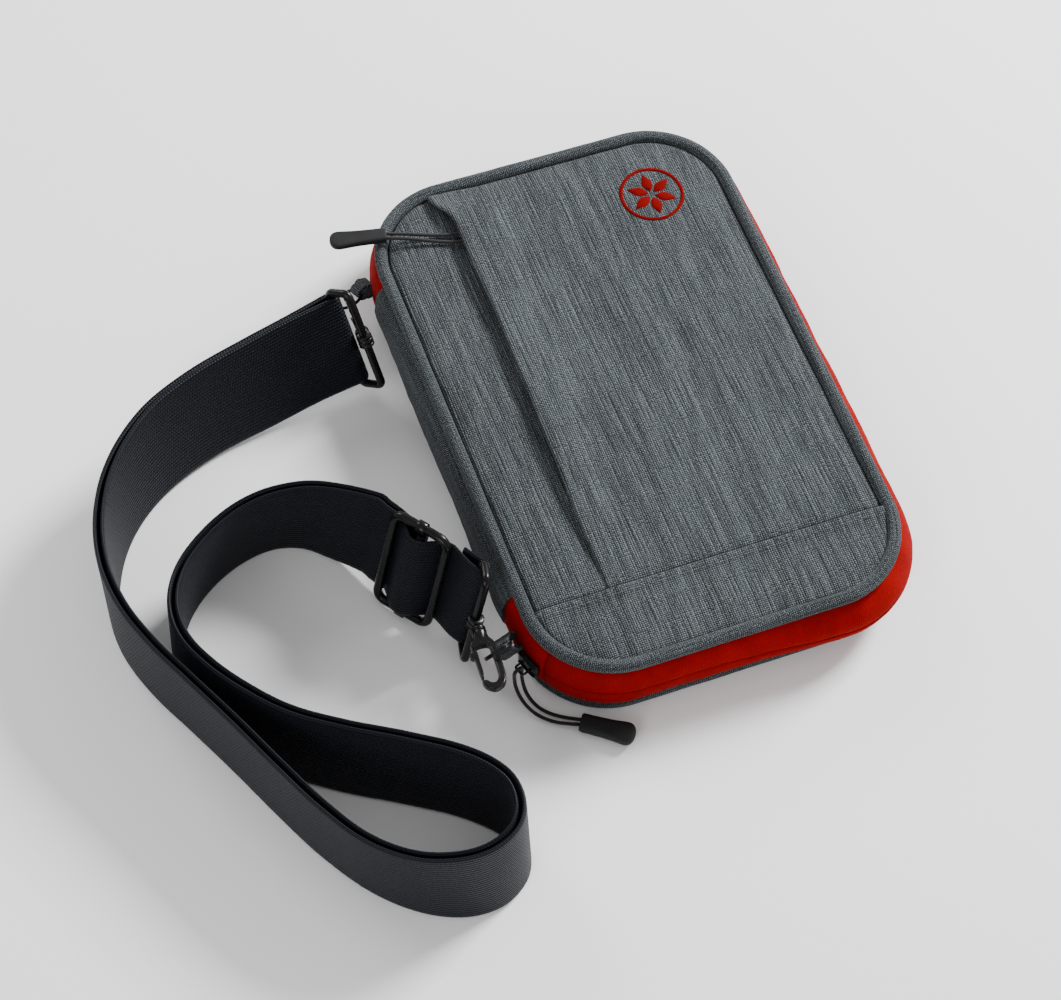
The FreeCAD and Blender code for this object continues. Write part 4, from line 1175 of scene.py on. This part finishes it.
# ---------------------------------------------------------------- strap
# Lower edge's x, y and z, and how far the upper edge leans in x and y. The first two, beside the upper hook,
# also state their own half spacing of the two layers' middles.
STRAP = [(-84.5, 47.6, 4.65, -6.03, 16.6, 2.45), (-101.0, 45.4, 3.2, -5.0, 16.2, 1.3),
         (-120.0, 42.0, 1.4, -4.0, 16.0), (-140.0, 38.2, 0.6, -4.5, 13.8), (-157.0, 32.2, 0.4, -6.0, 11.0),
         (-171.0, 24.0, 0.4, -5.5, 7.5), (-182.0, 13.5, 0.4, -4.5, 4.5), (-190.0, 0.5, 0.4, -3.0, 2.0),
         (-194.6, -14.0, 0.4, -1.0, 0.5), (-194.5, -30.0, 0.4, 0.5, 0.2), (-189.5, -47.0, 0.4, 1.0, 0.5),
         (-181.5, -64.0, 0.4, 1.0, 0.5), (-172.5, -83.0, 0.4, 1.0, 0.5), (-163.5, -103.0, 0.4, 0.8, 0.5),
         (-154.5, -121.5, 0.4, 0.0, 1.5), (-143.5, -138.5, 0.4, -1.0, 2.5), (-131.0, -150.5, 0.4, -1.0, 3.8),
         (-118.0, -157.0, 0.4, -0.5, 5.5), (-106.0, -157.6, 0.4, -1.0, 6.3), (-96.6, -152.6, 0.4, -1.4, 6.0),
         (-92.6, -144.5, 0.4, -1.4, 5.6), (-95.2, -135.2, 0.4, 0.4, 5.8), (-107.0, -123.2, 0.4, 3.2, 5.2),
         (-124.0, -112.0, 0.4, 3.6, 5.7), (-142.0, -101.0, 0.4, 3.6, 5.6), (-157.0, -89.0, 0.4, 3.2, 4.6),
         (-168.0, -74.5, 0.4, 2.8, 2.8), (-175.8, -60.0, 0.4, 2.2, 1.2), (-179.4, -46.0, 0.4, 1.0, 0.0),
         (-178.0, -33.0, 0.4, 0.4, -0.5), (-171.5, -22.0, 0.4, 0.0, -0.5), (-161.0, -13.0, 0.4, 0.0, -0.5),
         (-148.5, -7.0, 0.4, 0.0, 0.0), (-136.0, -5.0, 0.4, 0.0, 0.6), (-125.0, -8.2, 0.4, 2.2, 2.6),
         (-117.0, -15.6, 0.8, 4.8, 5.4), (-111.6, -23.4, 2.4, 7.4, 7.8)]
THROUGH = [(-19.6, -3.9), (-16.0, -3.1), (-11.6, -2.6), (-9.0, -2.5), (-2.0, 3.8), (2.0, 3.8),
           (9.0, -2.5), (12.0, -2.6), (15.0, -1.5), (19.5, 0.3), (24.0, 0.95)]
SEWN = [(-19.6, -6.4), (-16.0, -5.6), (-11.0, -4.9), (-6.0, -3.6), (-2.5, -2.25), (0.0, -2.15)]
FLAP_END = [(24.0, -3.75), (20.5, -3.9), (15.0, -4.3)]
HALF_SPACING = 1.25                         # from between the two layers to the middle of each
CROSS_BAR_TURN, LOOP_TURN = 2.15, 2.35      # radii at which the webbing turns round the bars
WEB_COLUMNS = 30                            # faces across the webbing


def layer_edges(sign):
    """Lower and upper edge of one layer's middle surface, per station of STRAP."""
    lows = [V(s[:3]) for s in STRAP]
    edges = []
    for i, station in enumerate(STRAP):
        sx, sy, *own = station[3:]
        offset = own[0] if own else HALF_SPACING
        lean = math.hypot(sx, sy)
        up = V((sx, sy, math.sqrt(WEB_W ** 2 - lean ** 2))).normalized()
        ahead = lows[min(i + 1, len(lows) - 1)] - lows[max(i - 1, 0)]
        side_v = ahead.cross(up).normalized()
        low = lows[i] + V((0, 0, (offset + WEB_T / 2) * lean / WEB_W)) + side_v * sign * offset
        edges.append((low, low + up * WEB_W))
    return edges


def band_edges(points, place):
    return [(place @ V((x, -WEB_W / 2, z)), place @ V((x, WEB_W / 2, z))) for x, z in points]


def turn_edges(place, radius, lo, hi, count=8):
    """Edges of a turn round a bar along local Y, angles from the bar's +X side."""
    turn = [math.radians(a) for a in even(lo, hi, count)]
    return band_edges([(radius * math.cos(a), radius * math.sin(a)) for a in turn], place)


def smooth_track(points, step=2.2):
    """Even stations along a Catmull-Rom track through the edges."""
    out = []
    for i in range(len(points) - 1):
        p = [points[max(i - 1, 0)], points[i], points[i + 1], points[min(i + 2, len(points) - 1)]]
        gap = (p[2][0] - p[1][0]).length
        count = max(1, round(gap / step))
        for k in range(count):
            t = k / count
            pair = []
            for e in (0, 1):
                a, b, c, d = (q[e] for q in p)
                m0 = (c - a) * (gap / max((b - a).length + gap, 1e-6)) if i else (c - b)
                m1 = (d - b) * (gap / max((d - c).length + gap, 1e-6)) if i < len(points) - 2 else (c - b)
                t2, t3 = t * t, t * t * t
                near = b * (2 * t3 - 3 * t2 + 1) + m0 * (t3 - 2 * t2 + t)
                pair.append(near + c * (3 * t2 - 2 * t3) + m1 * (t3 - t2))
            out.append(tuple(pair))
    out.append(points[-1])
    return out


def strap():
    """The webbing as one closed skin along its whole track; returns it with its length."""
    bar, bar_dir = HOOKS["upper"][:2]
    back = V(STRAP[0][:3]) - V(STRAP[1][:3])
    upper = frame_at(bar, square_to(back, bar_dir), bar_dir)
    lower = frame_at(LOWER_BAR, ADJ_ALONG, LOWER_DIR)
    inner, outer = layer_edges(-1), layer_edges(1)
    towards = (inner[0][0] - outer[0][0]).dot(upper.to_3x3() @ V((0, 0, 1)))
    a = 90 if towards > 0 else -90
    track = turn_edges(ADJ, CROSS_BAR_TURN, 90, -90, 6)
    track += list(reversed(band_edges(SEWN, ADJ)))[1:]
    track += list(reversed(inner))[1:-1]
    track += turn_edges(upper, LOOP_TURN, a, -a)
    track += outer[1:-1]
    track += band_edges(THROUGH, ADJ)
    track += turn_edges(lower, LOOP_TURN, 90, -90)[1:]
    track += band_edges(FLAP_END, ADJ)[1:]
    fine = smooth_track(track)
    mids = [(low + top) / 2 for low, top in fine]
    run = arc_length(mids)
    rows = []
    for i, (low, top) in enumerate(fine):
        ahead = mids[min(i + 1, len(mids) - 1)] - mids[max(i - 1, 0)]
        up = (top - low).normalized()
        normal = ahead.cross(up).normalized()
        row = []
        for face in (1, -1):
            for j in range(WEB_COLUMNS + 1):
                f = j / WEB_COLUMNS if face == 1 else 1 - j / WEB_COLUMNS
                d = min(f, 1 - f) * WEB_W
                half = WEB_T / 2 * (0.42 + 0.58 * min(1.0, d / 1.3) ** 0.6)
                waver = 0.10 * math.sin(run[i] / 19.0 + f * 2.0)
                row.append(low.lerp(top, f) + normal * (face * half + waver))
        rows.append(row)
    heights = [j / WEB_COLUMNS * WEB_W for j in range(WEB_COLUMNS + 1)]
    heights = heights + heights[::-1] + [0.0]
    obj = build("strap_webbing", rows, lambda i, j: (run[i], heights[j]), WEBBING, "case",
                ("strap_hook_run", "strap_front_run", "strap_loop_run", "strap_back_run", "strap_curl_run",
                 "strap_tail_run", "strap_sewn_end", "strap_upper_wrap"), loop=True, caps=True)
    return obj, run[-1]


webbing, strap_length = strap()


def box_stitch():
    """Sewn cross on the tail's flap, beside the lower loop."""
    corners = [(20.0, -15.5), (15.8, -15.5), (15.8, 15.5), (20.0, 15.5), (20.0, -15.5)]
    path = [ADJ @ V((x, y, -4.95 - (20 - x) * 0.06)) for x, y in corners]
    out = ADJ.to_3x3() @ V((0, 0, -1))
    stitches("tail_box_stitch", path, "case", DARK_THREAD, pitch=3.0, length=2.2,
             normal=lambda p: out)


box_stitch()


# ---------------------------------------------------------------- zip sliders
def curved_block(name, u0, u1, z0, z1, deg0, deg1, edge, stands_for=()):
    """Block that follows the case's corner between two angles, its long edges rounded."""
    near, far = edge, edge * 0.3
    profile = [(u0 + near, z0), (u1 - near, z0), (u1 - far, z0 + far), (u1, z0 + near), (u1, z1 - near),
               (u1 - far, z1 - far), (u1 - near, z1), (u0 + near, z1), (u0 + far, z1 - far),
               (u0, z1 - near), (u0, z0 + near), (u0 + far, z0 + far)]
    rim_mesh(name, profile, [corner(180, deg0, deg1)], METAL, "main_slider", stands_for,
             loop=True, caps=True, step=0.7)


def main_slider():
    """Slider on the corner of the main zip, with the lug that its cord runs through."""
    curved_block("slider_outer_plate", 34.6, 35.8, 12.0, 19.1, 192.5, 207.5, 0.5, ("main_zip_slider",))
    curved_block("slider_inner_plate", 30.0, 31.2, 12.0, 19.1, 194, 206, 0.5)
    curved_block("slider_neck", 31.1, 34.7, 15.4, 15.7, 196.5, 203.5, 0.1)
    curved_block("slider_rib_low", 35.6, 36.3, 12.4, 13.2, 193.5, 206.5, 0.25)
    curved_block("slider_rib_top", 35.6, 36.3, 17.9, 18.7, 193.5, 206.5, 0.25)
    a = math.radians(200)
    out, along = V((math.cos(a), math.sin(a), 0)), V((-math.sin(a), math.cos(a), 0))
    base = V((*CORNERS[180], ZIP_Z))
    place = axes_at(base + out * 37.3, out, along, V((0, 0, 1)))
    sweep("slider_lug", rounded_loop(-1.9, 2.0, 2.0, 0.9, 0.6), 0.42, place, "main_slider", count=10)


main_slider()


def pocket_slider():
    """Plate on the pocket zip, under the flap, with the post its cord loops round."""
    outline = [(-3.2, -4.5), (3.2, -4.5), (3.2, 1.5), (2.0, 4.5), (-2.0, 4.5), (-3.2, 1.5)]
    cast_plate("pocket_slider_plate", outline, lambda p: 0.3, Matrix.Translation((-30.0, 78.0, 29.5)),
               "pocket_slider", ("pocket_zip_slider",), bevel=0.08)
    upright = Matrix.Translation((-31.3, 78.05, 29.4)) @ Matrix.Rotation(math.radians(-90), 4, "Y")
    lathe("pocket_slider_post", [(0.0, 0.8), (1.2, 0.72), (1.5, 0.8), (1.65, 0.55)], upright, "X",
          "pocket_slider", (), 16)


pocket_slider()


# ---------------------------------------------------------------- studio
FLOOR_REACH = 3.0       # metres


def studio():
    """Pale floor, three area lights and a soft white surround."""
    floor_mesh = bpy.data.meshes.new("floor")
    square = [(x * FLOOR_REACH, y * FLOOR_REACH, 0) for x, y in ((-1, -1), (1, -1), (1, 1), (-1, 1))]
    floor_mesh.from_pydata(square, [], [(0, 1, 2, 3)])
    floor_mesh.materials.append(floor_material("pale_floor"))
    floor = add_object("floor", floor_mesh)
    for name, place, look, size, power in (
            ("key", (1.15, 0.45, 0.90), (-0.04, 0.0, 0.0), 0.45, 56.0),
            ("fill", (-1.3, -1.1, 0.8), (-0.05, 0.0, 0.0), 0.8, 12.0),
            ("rim", (-0.6, 1.2, 0.9), (-0.08, 0.0, 0.02), 0.6, 9.0)):
        data = bpy.data.lights.new(name, "AREA")
        data.size, data.energy = size, power
        light = add_object(name, data)
        light.location = place
        light.rotation_euler = (V(look) - V(place)).to_track_quat("-Z", "Y").to_euler()
    world = bpy.data.worlds.new("soft")
    world.use_nodes = True
    back = world.node_tree.nodes["Background"]
    back.inputs[0].default_value = (1, 1, 1, 1)
    back.inputs[1].default_value = 0.62
    bpy.context.scene.world = world


studio()
